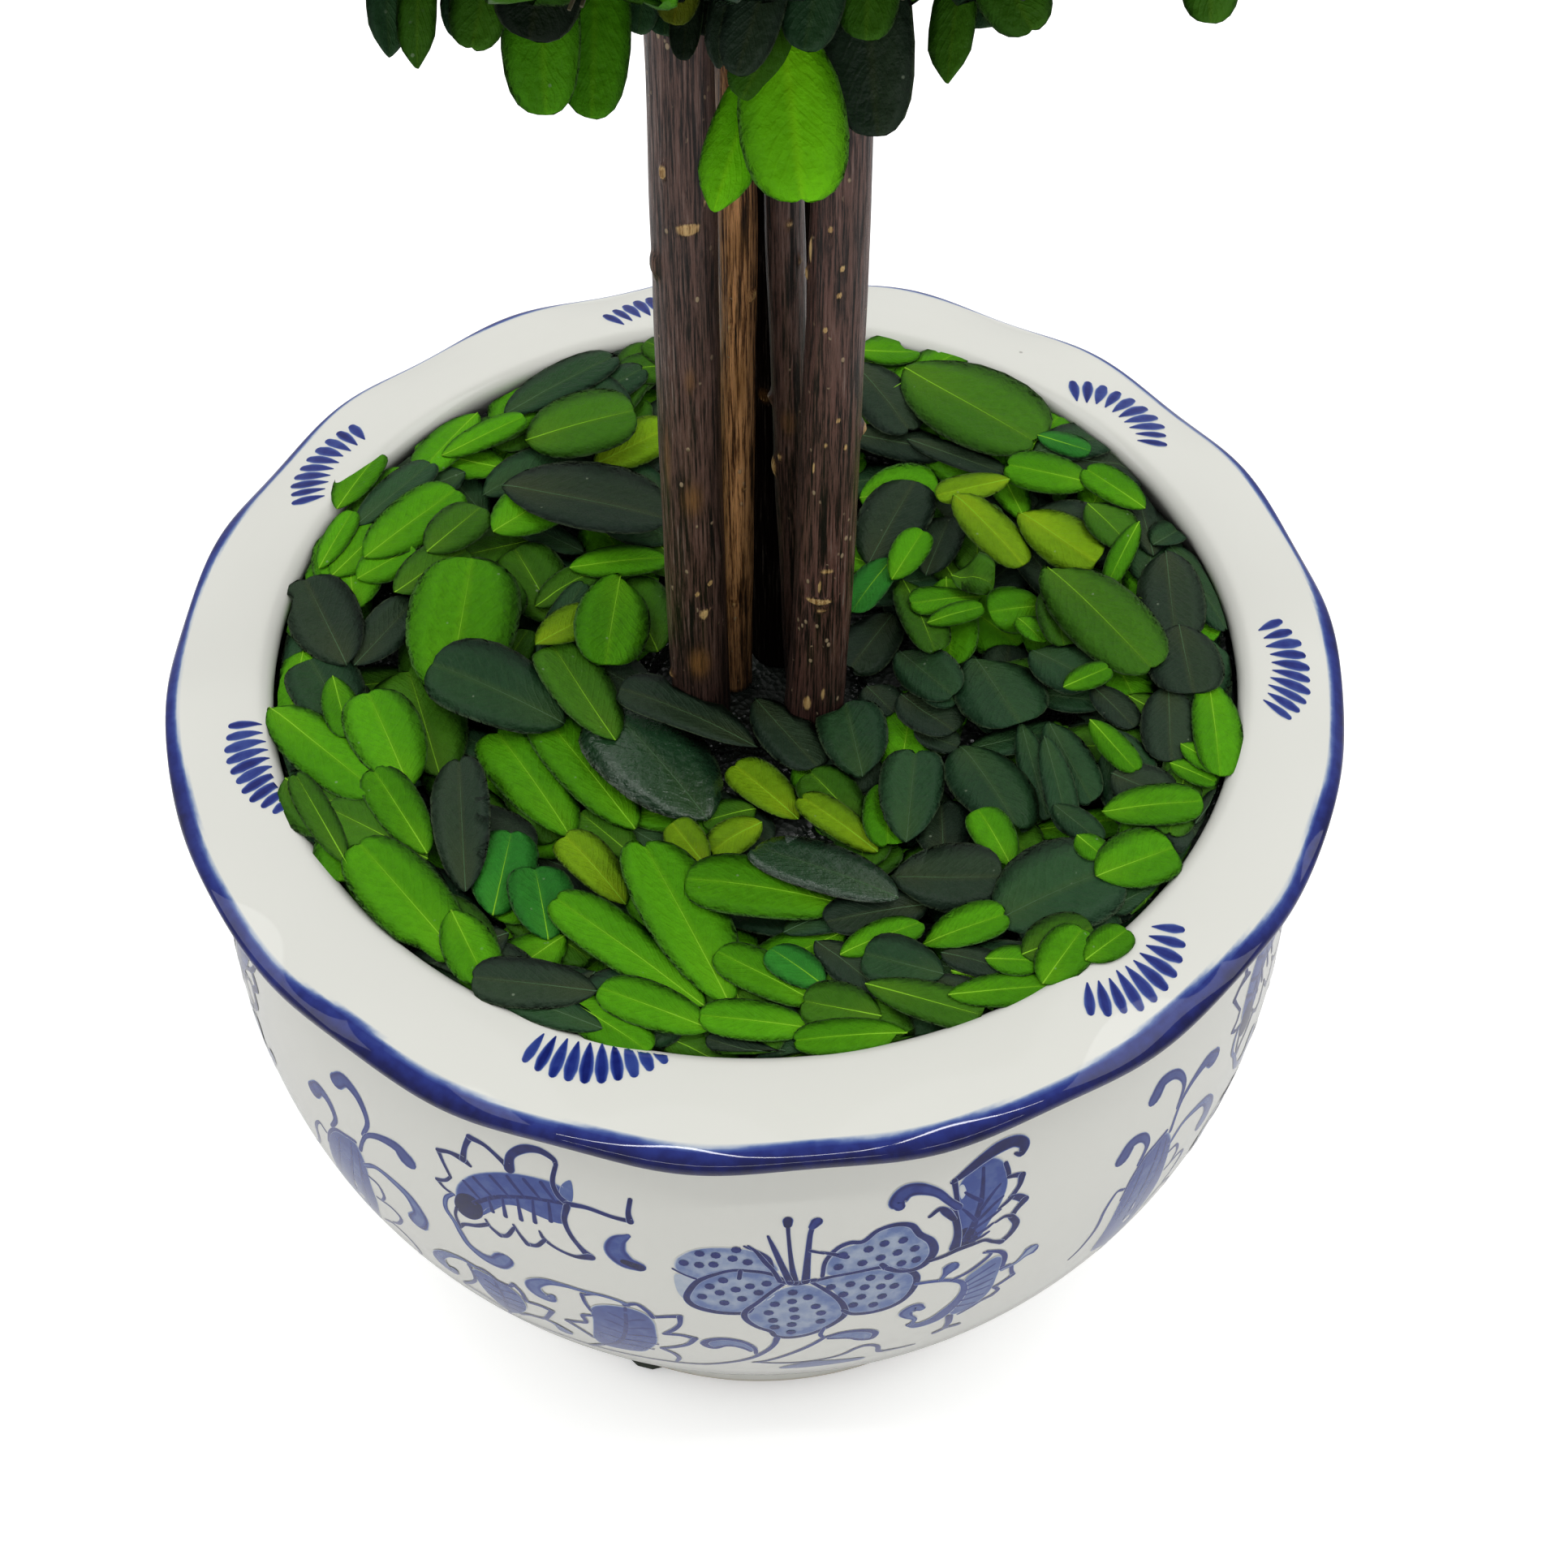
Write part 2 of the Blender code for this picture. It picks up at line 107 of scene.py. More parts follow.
# %% Light and floor
scene.view_settings.view_transform = "Standard"
WORLD_STRENGTH = 0.50
world = bpy.data.worlds.new("white_studio")
world.use_nodes = True
backdrop = world.node_tree.nodes["Background"]
backdrop.inputs["Color"].default_value = (1.0, 1.0, 1.0, 1.0)
backdrop.inputs["Strength"].default_value = WORLD_STRENGTH
scene.world = world

BOWL_TARGET = Vector((0, 0, 0.12))
# Each panel: place, width and height in metres, power in watts.
PANELS = {
    "top_panel": ((0.0, 0.18, 1.50), (1.6, 0.9), 13.5),
    "left_panel": ((-1.00, -0.10, 0.95), (0.5, 0.9), 2.4),
    "right_panel": ((1.00, -0.05, 0.95), (0.5, 0.9), 2.8),
    "overhead_strip": ((0.02, -0.36, 0.95), (0.75, 0.016), 1.1),
    "front_strip": ((0.02, -0.72, 0.66), (0.85, 0.012), 0.8),
}


def panel(name, place, size, power):
    """An area light that faces the bowl."""
    light = bpy.data.lights.new(name, "AREA")
    light.shape = "RECTANGLE"
    light.size, light.size_y = size
    light.energy = power
    lamp = bpy.data.objects.new(name, light)
    lamp.location = place
    lamp.rotation_euler = (BOWL_TARGET - Vector(place)).to_track_quat("-Z", "Y").to_euler()
    lamp.visible_glossy = name != "top_panel"
    scene.collection.objects.link(lamp)


for name, values in PANELS.items():
    panel(name, *values)

FLOOR_SIZE = 6.0
FLOOR_GLOW = 0.34
FLOOR_BOUNCE = (0.72, 0.72, 0.72)
FLOOR_TO_CAMERA = (0.93, 0.93, 0.93)
BLACK = (0.0, 0.0, 0.0)
WHITE = (1.0, 1.0, 1.0)
floor_shape = bmesh.new()
bmesh.ops.create_grid(floor_shape, x_segments=1, y_segments=1, size=0.5 * FLOOR_SIZE)
floor_mesh = bpy.data.meshes.new("floor")
floor_shape.to_mesh(floor_mesh)
floor_shape.free()
floor = bpy.data.objects.new("floor", floor_mesh)
scene.collection.objects.link(floor)

# %% [markdown]
# A finish is a small network of shader nodes. Two helpers keep such networks readable. A
# Wire wraps a socket and takes part in arithmetic, so that 1 - mask adds its own Math node.
# A Finish makes any node from its type, its settings and what its sockets get.


# %% Shader helpers
class Wire:
    """An output socket that takes part in arithmetic."""

    def __init__(self, finish, socket):
        self.finish = finish
        self.socket = socket

    def __add__(self, other):
        return self.finish.maths("ADD", self, other)

    def __radd__(self, other):
        return self.finish.maths("ADD", other, self)

    def __sub__(self, other):
        return self.finish.maths("SUBTRACT", self, other)

    def __rsub__(self, other):
        return self.finish.maths("SUBTRACT", other, self)

    def __mul__(self, other):
        return self.finish.maths("MULTIPLY", self, other)


class Finish:
    """A material under construction, with its Principled shader's plain values."""

    def __init__(self, name, values):
        self.material = bpy.data.materials.new(name)
        self.material.use_nodes = True
        self.tree = self.material.node_tree
        self.shader = self.tree.nodes["Principled BSDF"]
        for socket, value in values.items():
            self.feed(self.shader.inputs[socket], value)

    def feed(self, socket, value):
        """Give a socket a wire, a colour or a number."""
        if isinstance(value, Wire):
            self.tree.links.new(value.socket, socket)
        elif socket.type == "RGBA":
            socket.default_value = (*value, 1.0)
        else:
            socket.default_value = value

    def node(self, kind, settings=None, sockets=None, output=0):
        """Make a node and return one of its outputs."""
        made = self.tree.nodes.new(kind)
        for setting, value in (settings or {}).items():
            if setting == "stops":
                stops = made.color_ramp.elements
                while len(stops) < len(value):
                    stops.new(1.0)
                for stop, (place, colour) in zip(stops, value):
                    stop.position = place
                    stop.color = (*colour, 1.0)
            else:
                setattr(made, setting, value)
        for socket, value in (sockets or {}).items():
            self.feed(made.inputs[socket], value)
        return Wire(self, made.outputs[output])

    def maths(self, operation, first, second=0.0):
        return self.node("ShaderNodeMath", {"operation": operation}, {0: first, 1: second})

    def blend(self, factor, first, second):
        """Mix two colours: the factor is held between 0 and 1."""
        return self.node("ShaderNodeMix", {"data_type": "RGBA"}, {0: factor, 6: first, 7: second}, 2)

    def attribute(self, name):
        return self.node("ShaderNodeAttribute", {"attribute_name": name}, output=2)

    def place(self, stretch=(1, 1, 1)):
        """Object coordinates, stretched so that a pattern runs along an axis."""
        spot = self.node("ShaderNodeTexCoord", output=3)
        return self.node("ShaderNodeMapping", sockets={"Vector": spot, "Scale": stretch})

    def grain(self, scale, detail=2.0, stretch=(1, 1, 1), roughness=0.5):
        return self.node("ShaderNodeTexNoise", sockets={
            "Vector": self.place(stretch), "Scale": scale, "Detail": detail, "Roughness": roughness})

    def cells(self, scale, stretch=(1, 1, 1)):
        """The distance to the nearest of many scattered points."""
        return self.node("ShaderNodeTexVoronoi", {"feature": "F1"}, {
            "Vector": self.place(stretch), "Scale": scale, "Randomness": 1.0})

    def between(self, value, low, high, start=0.0, end=1.0):
        """Map a value from one range to another, held at both ends."""
        return self.node("ShaderNodeMapRange", {"interpolation_type": "SMOOTHSTEP"}, {
            "Value": value, "From Min": low, "From Max": high, "To Min": start, "To Max": end})

    def relief(self, height, distance, strength):
        bump = self.node("ShaderNodeBump", sockets={
            "Height": height, "Distance": distance, "Strength": strength})
        self.set("Normal", bump)

    def set(self, socket, value):
        self.feed(self.shader.inputs[socket], value)


floor_finish = Finish("pale_floor", {
    "Roughness": 0.9, "Specular IOR Level": 0.0, "Emission Strength": FLOOR_GLOW})
seen = floor_finish.node("ShaderNodeLightPath")
floor_finish.set("Base Color", floor_finish.blend(seen, FLOOR_BOUNCE, FLOOR_TO_CAMERA))
floor_finish.set("Emission Color", floor_finish.blend(seen, BLACK, WHITE))
floor_mesh.materials.append(floor_finish.material)
print("floor finish:", floor_finish.material.name)

# %% [markdown]
# Finished pieces all arrive the same way: corners and faces go into a mesh, numbers that the
# finish needs are stored with each corner, and the piece rides on the one body and hides the
# CAD nodes that it stands for.


# %% Piece helpers
def add_mesh(name, mesh, finish, nodes, sharp_angle=None):
    """Dress the part with a mesh that stands for the named nodes of the model."""
    mesh.materials.append(finish.material)
    mesh.shade_smooth()
    if sharp_angle is not None:
        mesh.set_sharp_from_angle(angle=math.radians(sharp_angle))
    piece = bpy.data.objects.new(name, mesh)
    scene.collection.objects.link(piece)
    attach(piece, "root")
    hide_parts(*nodes)
    print(name, len(mesh.polygons), "faces")


def turned(profile, steps, closed=False):
    """A profile of (radius, height) spun about the upright axis."""
    shape = bmesh.new()
    corners = [shape.verts.new((radius, 0.0, height)) for radius, height in profile]
    following = corners[1:] + corners[:1] if closed else corners[1:]
    edges = [shape.edges.new(pair) for pair in zip(corners, following)]
    bmesh.ops.spin(shape, geom=corners + edges, cent=(0, 0, 0), axis=(0, 0, 1), angle=math.tau,
                   steps=steps, use_merge=True, use_duplicate=False)
    bmesh.ops.remove_doubles(shape, verts=shape.verts, dist=1e-6)
    bmesh.ops.recalc_face_normals(shape, faces=shape.faces)
    return shape


def mesh_from_bmesh(name, shape):
    mesh = bpy.data.meshes.new(name)
    shape.to_mesh(mesh)
    shape.free()
    return mesh


def mesh_from_arrays(name, corners, faces):
    mesh = bpy.data.meshes.new(name)
    mesh.from_pydata(np.asarray(corners).tolist(), [], faces)
    return mesh


def store(mesh, name, values):
    """Keep one number for each corner of a mesh."""
    kept = mesh.attributes.new(name, "FLOAT", "POINT")
    kept.data.foreach_set("value", np.asarray(values, dtype=np.float32))


def unit_rows(rows):
    """Rows of length 1 that point the same way."""
    return rows / (np.linalg.norm(rows, axis=1)[:, None] + 1e-12)


def flowing(points, steps, closed=False):
    """A smooth curve through control points, one row for each sample."""
    points = np.asarray(points, float)
    if closed:
        padded = np.vstack([points[-1:], points, points[:2]])
    else:
        padded = np.vstack([2 * points[0] - points[1], points, 2 * points[-1] - points[-2]])
    rows = []
    for span in range(len(padded) - 3):
        before, here, there, after = padded[span:span + 4]
        for t in np.linspace(0, 1, steps, endpoint=False):
            rows.append(0.5 * (2 * here + (there - before) * t
                               + (2 * before - 5 * here + 4 * there - after) * t * t
                               + (3 * here - before - 3 * there + after) * t ** 3))
    if not closed:
        rows.append(points[-1])
    return np.array(rows)


def ease(low, high, value):
    """0 below low, 1 above high, and a smooth step between them."""
    share = np.clip((value - low) / (high - low), 0.0, 1.0)
    return share * share * (3.0 - 2.0 * share)


print("helpers ready; nodes in the frame:", sorted(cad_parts))

# %% [markdown]
# The bowl is slip-cast porcelain with a clear glossy glaze over cobalt painting. Its body is
# a turned shape, so spinning a profile about the upright axis is the natural way to make it.
# The flange rises and falls in sixteen soft waves, which are added after the spin. All sizes
# repeat those of the model.

# %% Bowl profile
RIM_RADIUS = 0.100
PAD_HEIGHT = 0.003
BOWL_HEIGHT = 0.140
WALL = 0.0052
LIP_RADIUS = 0.0817
BELLY_RADIUS = 0.096
NECK_RADIUS = 0.0905
FOOT_RADIUS = 0.0615
FOOT_HEIGHT = 0.017
RIM_WAVES = 16
RIM_WAVE_HEIGHT = 0.0009
RIM_WAVE_PHASE = math.radians(5.5)
FOOT_Z = PAD_HEIGHT
FOOT_TOP_Z = FOOT_Z + FOOT_HEIGHT
EDGE_Z = PAD_HEIGHT + BOWL_HEIGHT
BELLY_Z = EDGE_Z - 0.045
NECK_Z = EDGE_Z - 0.0065
LIP_Z = EDGE_Z + 0.0054
FLOOR_Z = FOOT_TOP_Z + 0.005
FOAM_TOP_Z = EDGE_Z - 0.010
GAP = 0.0003
BOWL_SEGMENTS = 384


def bezier(corners, steps):
    """Points on a cubic curve in (radius, height)."""
    t = np.linspace(0, 1, steps + 1)[:, None]
    a, b, c, d = np.array(corners)
    return (1 - t) ** 3 * a + 3 * (1 - t) ** 2 * t * b + 3 * (1 - t) * t * t * c + t ** 3 * d


outer_bowl = bezier([(FOOT_RADIUS + 0.0025, FOOT_TOP_Z), (0.080, 0.040), (BELLY_RADIUS, 0.062),
                     (BELLY_RADIUS, BELLY_Z)], 44)
shoulder = bezier([(BELLY_RADIUS, BELLY_Z), (BELLY_RADIUS, BELLY_Z + 0.017), (0.0935, NECK_Z - 0.011),
                   (NECK_RADIUS, NECK_Z)], 18)
wall_curve = np.vstack([outer_bowl, shoulder[1:]])
flange_curve = flowing([
    (NECK_RADIUS, NECK_Z),
    (NECK_RADIUS + 0.0026, EDGE_Z - 0.0036),
    (RIM_RADIUS - 0.0014, EDGE_Z - 0.0018),
    (RIM_RADIUS, EDGE_Z),
    (RIM_RADIUS - 0.0012, EDGE_Z + 0.0018),
    (RIM_RADIUS - 0.0080, EDGE_Z + 0.0042),
    (LIP_RADIUS + 0.0040, LIP_Z),
    (LIP_RADIUS + 0.0014, LIP_Z - 0.0004),
    (LIP_RADIUS, LIP_Z - 0.0026),
    (LIP_RADIUS + 0.0011, LIP_Z - 0.0066),
    (NECK_RADIUS - WALL, NECK_Z - 0.003),
], 10)
INNER_BELLY = BELLY_RADIUS - WALL
inner_wall = bezier([(NECK_RADIUS - WALL, NECK_Z - 0.003), (INNER_BELLY, NECK_Z - 0.020),
                     (INNER_BELLY, BELLY_Z + 0.010), (INNER_BELLY, BELLY_Z)], 6)
inner_bowl = bezier([(INNER_BELLY, BELLY_Z), (INNER_BELLY, 0.062), (0.076, 0.036), (0.050, FLOOR_Z)], 10)
FOOT_RECESS_Z = FOOT_Z + 0.010
FOOT_RING_WIDTH = 0.0065
foot_curve = np.array([
    (0.0, FOOT_RECESS_Z),
    (FOOT_RADIUS - FOOT_RING_WIDTH - 0.002, FOOT_RECESS_Z),
    (FOOT_RADIUS - FOOT_RING_WIDTH - 0.0004, FOOT_Z + 0.0012),
    (FOOT_RADIUS - FOOT_RING_WIDTH + 0.0006, FOOT_Z),
    (FOOT_RADIUS - 0.0010, FOOT_Z),
    (FOOT_RADIUS - 0.0002, FOOT_Z + 0.0005),
    (FOOT_RADIUS + 0.0001, FOOT_Z + 0.0020),
    (FOOT_RADIUS + 0.0004, FOOT_Z + 0.3 * FOOT_HEIGHT),
    (FOOT_RADIUS + 0.0008, FOOT_Z + 0.6 * FOOT_HEIGHT),
    (FOOT_RADIUS + 0.0013, FOOT_Z + 0.85 * FOOT_HEIGHT),
])
bowl_profile = np.vstack([foot_curve, wall_curve, flange_curve[1:], inner_wall[1:], inner_bowl[1:],
                          [(0.0, FLOOR_Z)]])
print("points in the bowl's profile:", len(bowl_profile))

# %% [markdown]
# The cobalt edge is painted with a loaded brush: about 3 mm wide at the front and half that
# at the back, wavy on its inner side, with pools where the brush rested. How much pigment
# lies at a corner of the mesh is kept in a number called paint, from 0 for bare glaze to 1
# for the deepest blue. One glaze finish then turns that number into colour, so every painted
# part of the bowl shares one gloss.

# %% Bowl
BAND_WIDTH_FRONT = 0.0032
BAND_WIDTH_BACK = 0.0015
BAND_POOLS = ((-39, 0.9, 4.5), (-12, 0.3, 5.0), (17, 0.4, 5.0), (43, 1.2, 6.0), (70, 0.6, 5.0),
              (93, 0.7, 5.0), (137, 0.4, 5.0), (-70, 0.5, 5.0), (-110, 0.5, 6.0), (-150, 0.5, 5.0),
              (176, 0.5, 6.0))
BAND_SOFTNESS = 0.0010
BAND_UNDERSIDE = 0.0020
UNDERSIDE_TONE = 0.94
WAVE_START = 0.5 * (LIP_RADIUS + NECK_RADIUS)


def rim_wave(angle, radius):
    """How far the flange is lifted at an angle from the front and at a radius."""
    weight = np.clip((radius - WAVE_START) / (RIM_RADIUS - WAVE_START), 0.0, None)
    return RIM_WAVE_HEIGHT * weight ** 1.5 * np.cos(RIM_WAVES * (angle - RIM_WAVE_PHASE))


def band_width(angle):
    """The width of the painted edge on top of the flange, in metres."""
    front = 0.5 + 0.5 * np.cos(angle)
    width = BAND_WIDTH_BACK + (BAND_WIDTH_FRONT - BAND_WIDTH_BACK) * front
    width = width + 0.00022 * np.sin(9 * angle + 1.0) + 0.00016 * np.sin(23 * angle)
    for centre, extra, spread in BAND_POOLS:
        apart = (np.degrees(angle) - centre + 180) % 360 - 180
        width = width + 0.001 * extra * np.exp(-(apart / spread) ** 2)
    return width


bowl_mesh = mesh_from_bmesh("glazed_bowl", turned(bowl_profile.tolist(), BOWL_SEGMENTS))
spots = np.empty(3 * len(bowl_mesh.vertices))
bowl_mesh.vertices.foreach_get("co", spots)
spots = spots.reshape(-1, 3)
spot_radius = np.hypot(spots[:, 0], spots[:, 1])
spot_angle = np.arctan2(spots[:, 0], -spots[:, 1])
on_flange = (spots[:, 2] >= NECK_Z + 0.001) & (spot_radius >= WAVE_START)
level = spots[:, 2].copy()
spots[:, 2] += np.where(on_flange, rim_wave(spot_angle, spot_radius), 0.0)
bowl_mesh.vertices.foreach_set("co", spots.ravel())

inward = RIM_RADIUS - spot_radius
topside = (level >= EDGE_Z) & on_flange
width_here = band_width(spot_angle)
on_top = np.where(topside, ease(0.0, 1.0, (width_here - inward) / BAND_SOFTNESS), 0.0)
pool = 0.58 + 0.22 * ease(0.0024, 0.0, inward) + 0.15 * ease(0.0022, 0.0034, width_here)
outer_face = (level < EDGE_Z) & (level > NECK_Z) & (spot_radius > NECK_RADIUS)
band_end = EDGE_Z - BAND_UNDERSIDE
below = np.where(outer_face, ease(band_end - 0.0007, band_end, level), 0.0)
store(bowl_mesh, "paint", np.maximum(on_top * pool, below * UNDERSIDE_TONE))
in_recess = (level < FOOT_RECESS_Z + 0.0001) & (spot_radius < FOOT_RADIUS - FOOT_RING_WIDTH)
foot_bare = ease(FOOT_Z + 0.0016, FOOT_Z + 0.0009, level)
store(bowl_mesh, "bare", np.maximum(foot_bare, in_recess))
print("painted corners:", int((on_top > 0.5).sum()))

# %% Glaze finish
GLAZE_WHITE = (0.735, 0.735, 0.682)
PAINT_STOPS = (
    (0.00, GLAZE_WHITE), (0.14, (0.40, 0.46, 0.56)), (0.30, (0.130, 0.190, 0.390)),
    (0.50, (0.042, 0.075, 0.285)), (0.72, (0.014, 0.026, 0.190)), (0.88, (0.006, 0.009, 0.095)),
    (1.00, (0.003, 0.004, 0.045)))
BISQUE = (0.52, 0.47, 0.38)
GREY_CLOUD = (0.66, 0.675, 0.64)
IRON_SPECK = (0.16, 0.14, 0.12)


def glaze_finish(name):
    """Clear glossy glaze over cobalt painting, a little uneven as on real ware."""
    glaze = Finish(name, {"Roughness": 0.25, "Specular IOR Level": 0.0, "Coat Weight": 1.0,
                          "Coat Roughness": 0.04, "Coat IOR": 1.42})
    brush_marks = glaze.between(glaze.grain(420, 3.0), 0.3, 0.7, -0.05, 0.05)
    paint = glaze.attribute("paint")
    uneven = paint + brush_marks * glaze.between(paint, 0.02, 0.3)
    colour = glaze.node("ShaderNodeValToRGB", {"stops": PAINT_STOPS}, {"Fac": uneven})
    cloud = glaze.between(glaze.grain(26, 2.0), 0.3, 0.7)
    colour = glaze.blend(cloud * glaze.between(paint, 0.12, 0.0) * 0.08, colour, GREY_CLOUD)
    pinhole = glaze.between(glaze.cells(95), 0.045, 0.02)
    pinhole = pinhole * glaze.between(glaze.grain(60, 1.0), 0.60, 0.66)
    colour = glaze.blend(pinhole * 0.5, colour, IRON_SPECK)
    bare = glaze.attribute("bare")
    glaze.set("Base Color", glaze.blend(bare, colour, BISQUE))
    glaze.set("Roughness", 0.25 + bare * 0.5)
    glaze.set("Coat Weight", 1 - bare)
    glaze.relief(glaze.grain(38, 2.0), 0.0006, 0.35)
    return glaze


glaze = glaze_finish("painted_glaze")
add_mesh("glazed_bowl", bowl_mesh, glaze, ["pot"], 40)

# %% [markdown]
# The painting is done in brush strokes, each a thin skin a few hundredths of a millimetre
# proud of the wall. A stroke is a ribbon with a soft edge of no paint, a dark rim where the
# pigment pooled and a lighter middle. A wash is a filled outline. Both are first drawn flat,
# on the wall as if it were unrolled: millimetres round the bowl from the middle of the
# front, and millimetres up along the wall from the foot.


# %% Brush
UNROLL_RADIUS = 96.0
FIRST_LIFT = 0.03
LIFT_STEP = 0.0006
LEAST_HALF_WIDTH = 0.12
END_BENDS = np.radians((85, 60, 32))
LANES = (-1.0, -0.74, -0.36, 0.36, 0.74, 1.0)
WASH_RINGS = ((1.0, "edge"), (0.94, "rim"), (0.80, "rim"), (0.58, "body"), (0.30, "body"))


class Painting:
    """Strokes and washes as rows of (x, y, lift, paint) and the faces between them."""

    def __init__(self):
        self.rows = []
        self.faces = []
        self.count = 0
        self.lift = FIRST_LIFT

    def add(self, rows, faces):
        start = len(self.rows)
        self.rows.extend((x, y, self.lift, paint) for x, y, paint in rows)
        self.faces.extend(tuple(start + index for index in face) for face in faces)
        self.lift += LIFT_STEP
        self.count += 1

    def stroke(self, tone, core, under, points, steps=6):
        """A ribbon through (x, y, width) points with rounded ends."""
        rows = flowing(points, steps)
        centre = rows[:, :2]
        half = np.maximum(0.5 * rows[:, 2], LEAST_HALF_WIDTH)
        along = np.gradient(centre, axis=0)
        along /= np.linalg.norm(along, axis=1)[:, None]
        sines, cosines = np.sin(END_BENDS), np.cos(END_BENDS)
        head = centre[0] - along[0] * half[0] * sines[:, None]
        tail = centre[-1] + along[-1] * half[-1] * sines[::-1, None]
        centre = np.vstack([head, centre, tail])
        half = np.concatenate([half[0] * cosines, half, half[-1] * cosines[::-1]])
        along = np.vstack([along[:1]] * 3 + [along] + [along[-1:]] * 3)
        side = np.stack([-along[:, 1], along[:, 0]], axis=1)
        tones = (under, tone, core, core, tone, under)
        flat = []
        for spot, out, reach in zip(centre, side, half):
            for lane, paint in zip(LANES, tones):
                flat.append((*(spot + out * reach * lane), paint))
        lanes = len(LANES)
        faces = [(r * lanes + k, r * lanes + k + 1, (r + 1) * lanes + k + 1, (r + 1) * lanes + k)
                 for r in range(len(centre) - 1) for k in range(lanes - 1)]
        self.add(flat, faces)

    def wash(self, tone, rim, under, outline, steps=4):
        """A filled shape whose paint fades out at its very edge."""
        ring = flowing(outline, steps, closed=True)
        middle = ring.mean(axis=0)
        tones = {"edge": under, "rim": rim, "body": tone}
        flat = [(*(middle + (spot - middle) * share), tones[kind])
                for share, kind in WASH_RINGS for spot in ring]
        flat.append((*middle, tone))
        size = len(ring)
        faces = [(r * size + k, r * size + (k + 1) % size, (r + 1) * size + (k + 1) % size,
                  (r + 1) * size + k)
                 for r in range(len(WASH_RINGS) - 1) for k in range(size)]
        last = (len(WASH_RINGS) - 1) * size
        faces += [(last + k, last + (k + 1) % size, len(flat) - 1) for k in range(size)]
        area = sum(a[0] * b[1] - a[1] * b[0] for a, b in zip(ring, np.roll(ring, -1, axis=0)))
        if area < 0:
            faces = [face[::-1] for face in faces]
        self.add(flat, faces)

    def dot(self, x, y, size, tone, under):
        """A round dab."""
        spread = 0.5 * size
        turns = np.arange(8) * math.tau / 8
        outline = [(x + spread * math.cos(turn), y + spread * math.sin(turn)) for turn in turns]
        self.wash(tone, tone, under, outline, 1)

    def draw(self, figure):
        """Paint a figure: each entry holds one kind of line and then all the lines of that kind."""
        for kind, tone, core, under, *lines in figure:
            for points in lines:
                if kind == "wash":
                    self.wash(tone, core, under, points)
                else:
                    self.stroke(tone, core, under, points)


wall_length = 1000 * np.concatenate([[0.0], np.cumsum(np.hypot(*np.diff(wall_curve, axis=0).T))])
wall_slope_r = np.gradient(wall_curve[:, 0], wall_length)
wall_slope_z = np.gradient(wall_curve[:, 1], wall_length)


def on_wall(flat, turn=0.0):
    """Bend rows of (x, y, lift) in millimetres onto the bowl's wall."""
    angle = flat[:, 0] / UNROLL_RADIUS + turn
    radius = np.interp(flat[:, 1], wall_length, wall_curve[:, 0])
    height = np.interp(flat[:, 1], wall_length, wall_curve[:, 1])
    out = np.interp(flat[:, 1], wall_length, wall_slope_z)
    up = -np.interp(flat[:, 1], wall_length, wall_slope_r)
    size = np.hypot(out, up)
    radius = radius + 0.001 * flat[:, 2] * out / size
    height = height + 0.001 * flat[:, 2] * up / size
    return np.stack([radius * np.sin(angle), -radius * np.cos(angle), height], axis=1)


print("length of the wall from foot to neck in mm:", round(wall_length[-1], 1))

# %% [markdown]
# The ornament is the common vine pattern of blue and white ware. One group fills a quarter
# of the bowl, and the same group follows three more times round it: a side view of a flower
# with curling stamens, a seed pod with toothed leaves, a comma, a five-petalled blossom with
# dots, a feathered leaf, a fringed scroll and two low flowers on a thin vine. Each figure
# below is a list of strokes and washes in the order of painting. An entry gives the paint at
# the rim, in the middle and outside, and then one or more lines, whose points are x, y and,
# for a stroke, the width, all in millimetres.

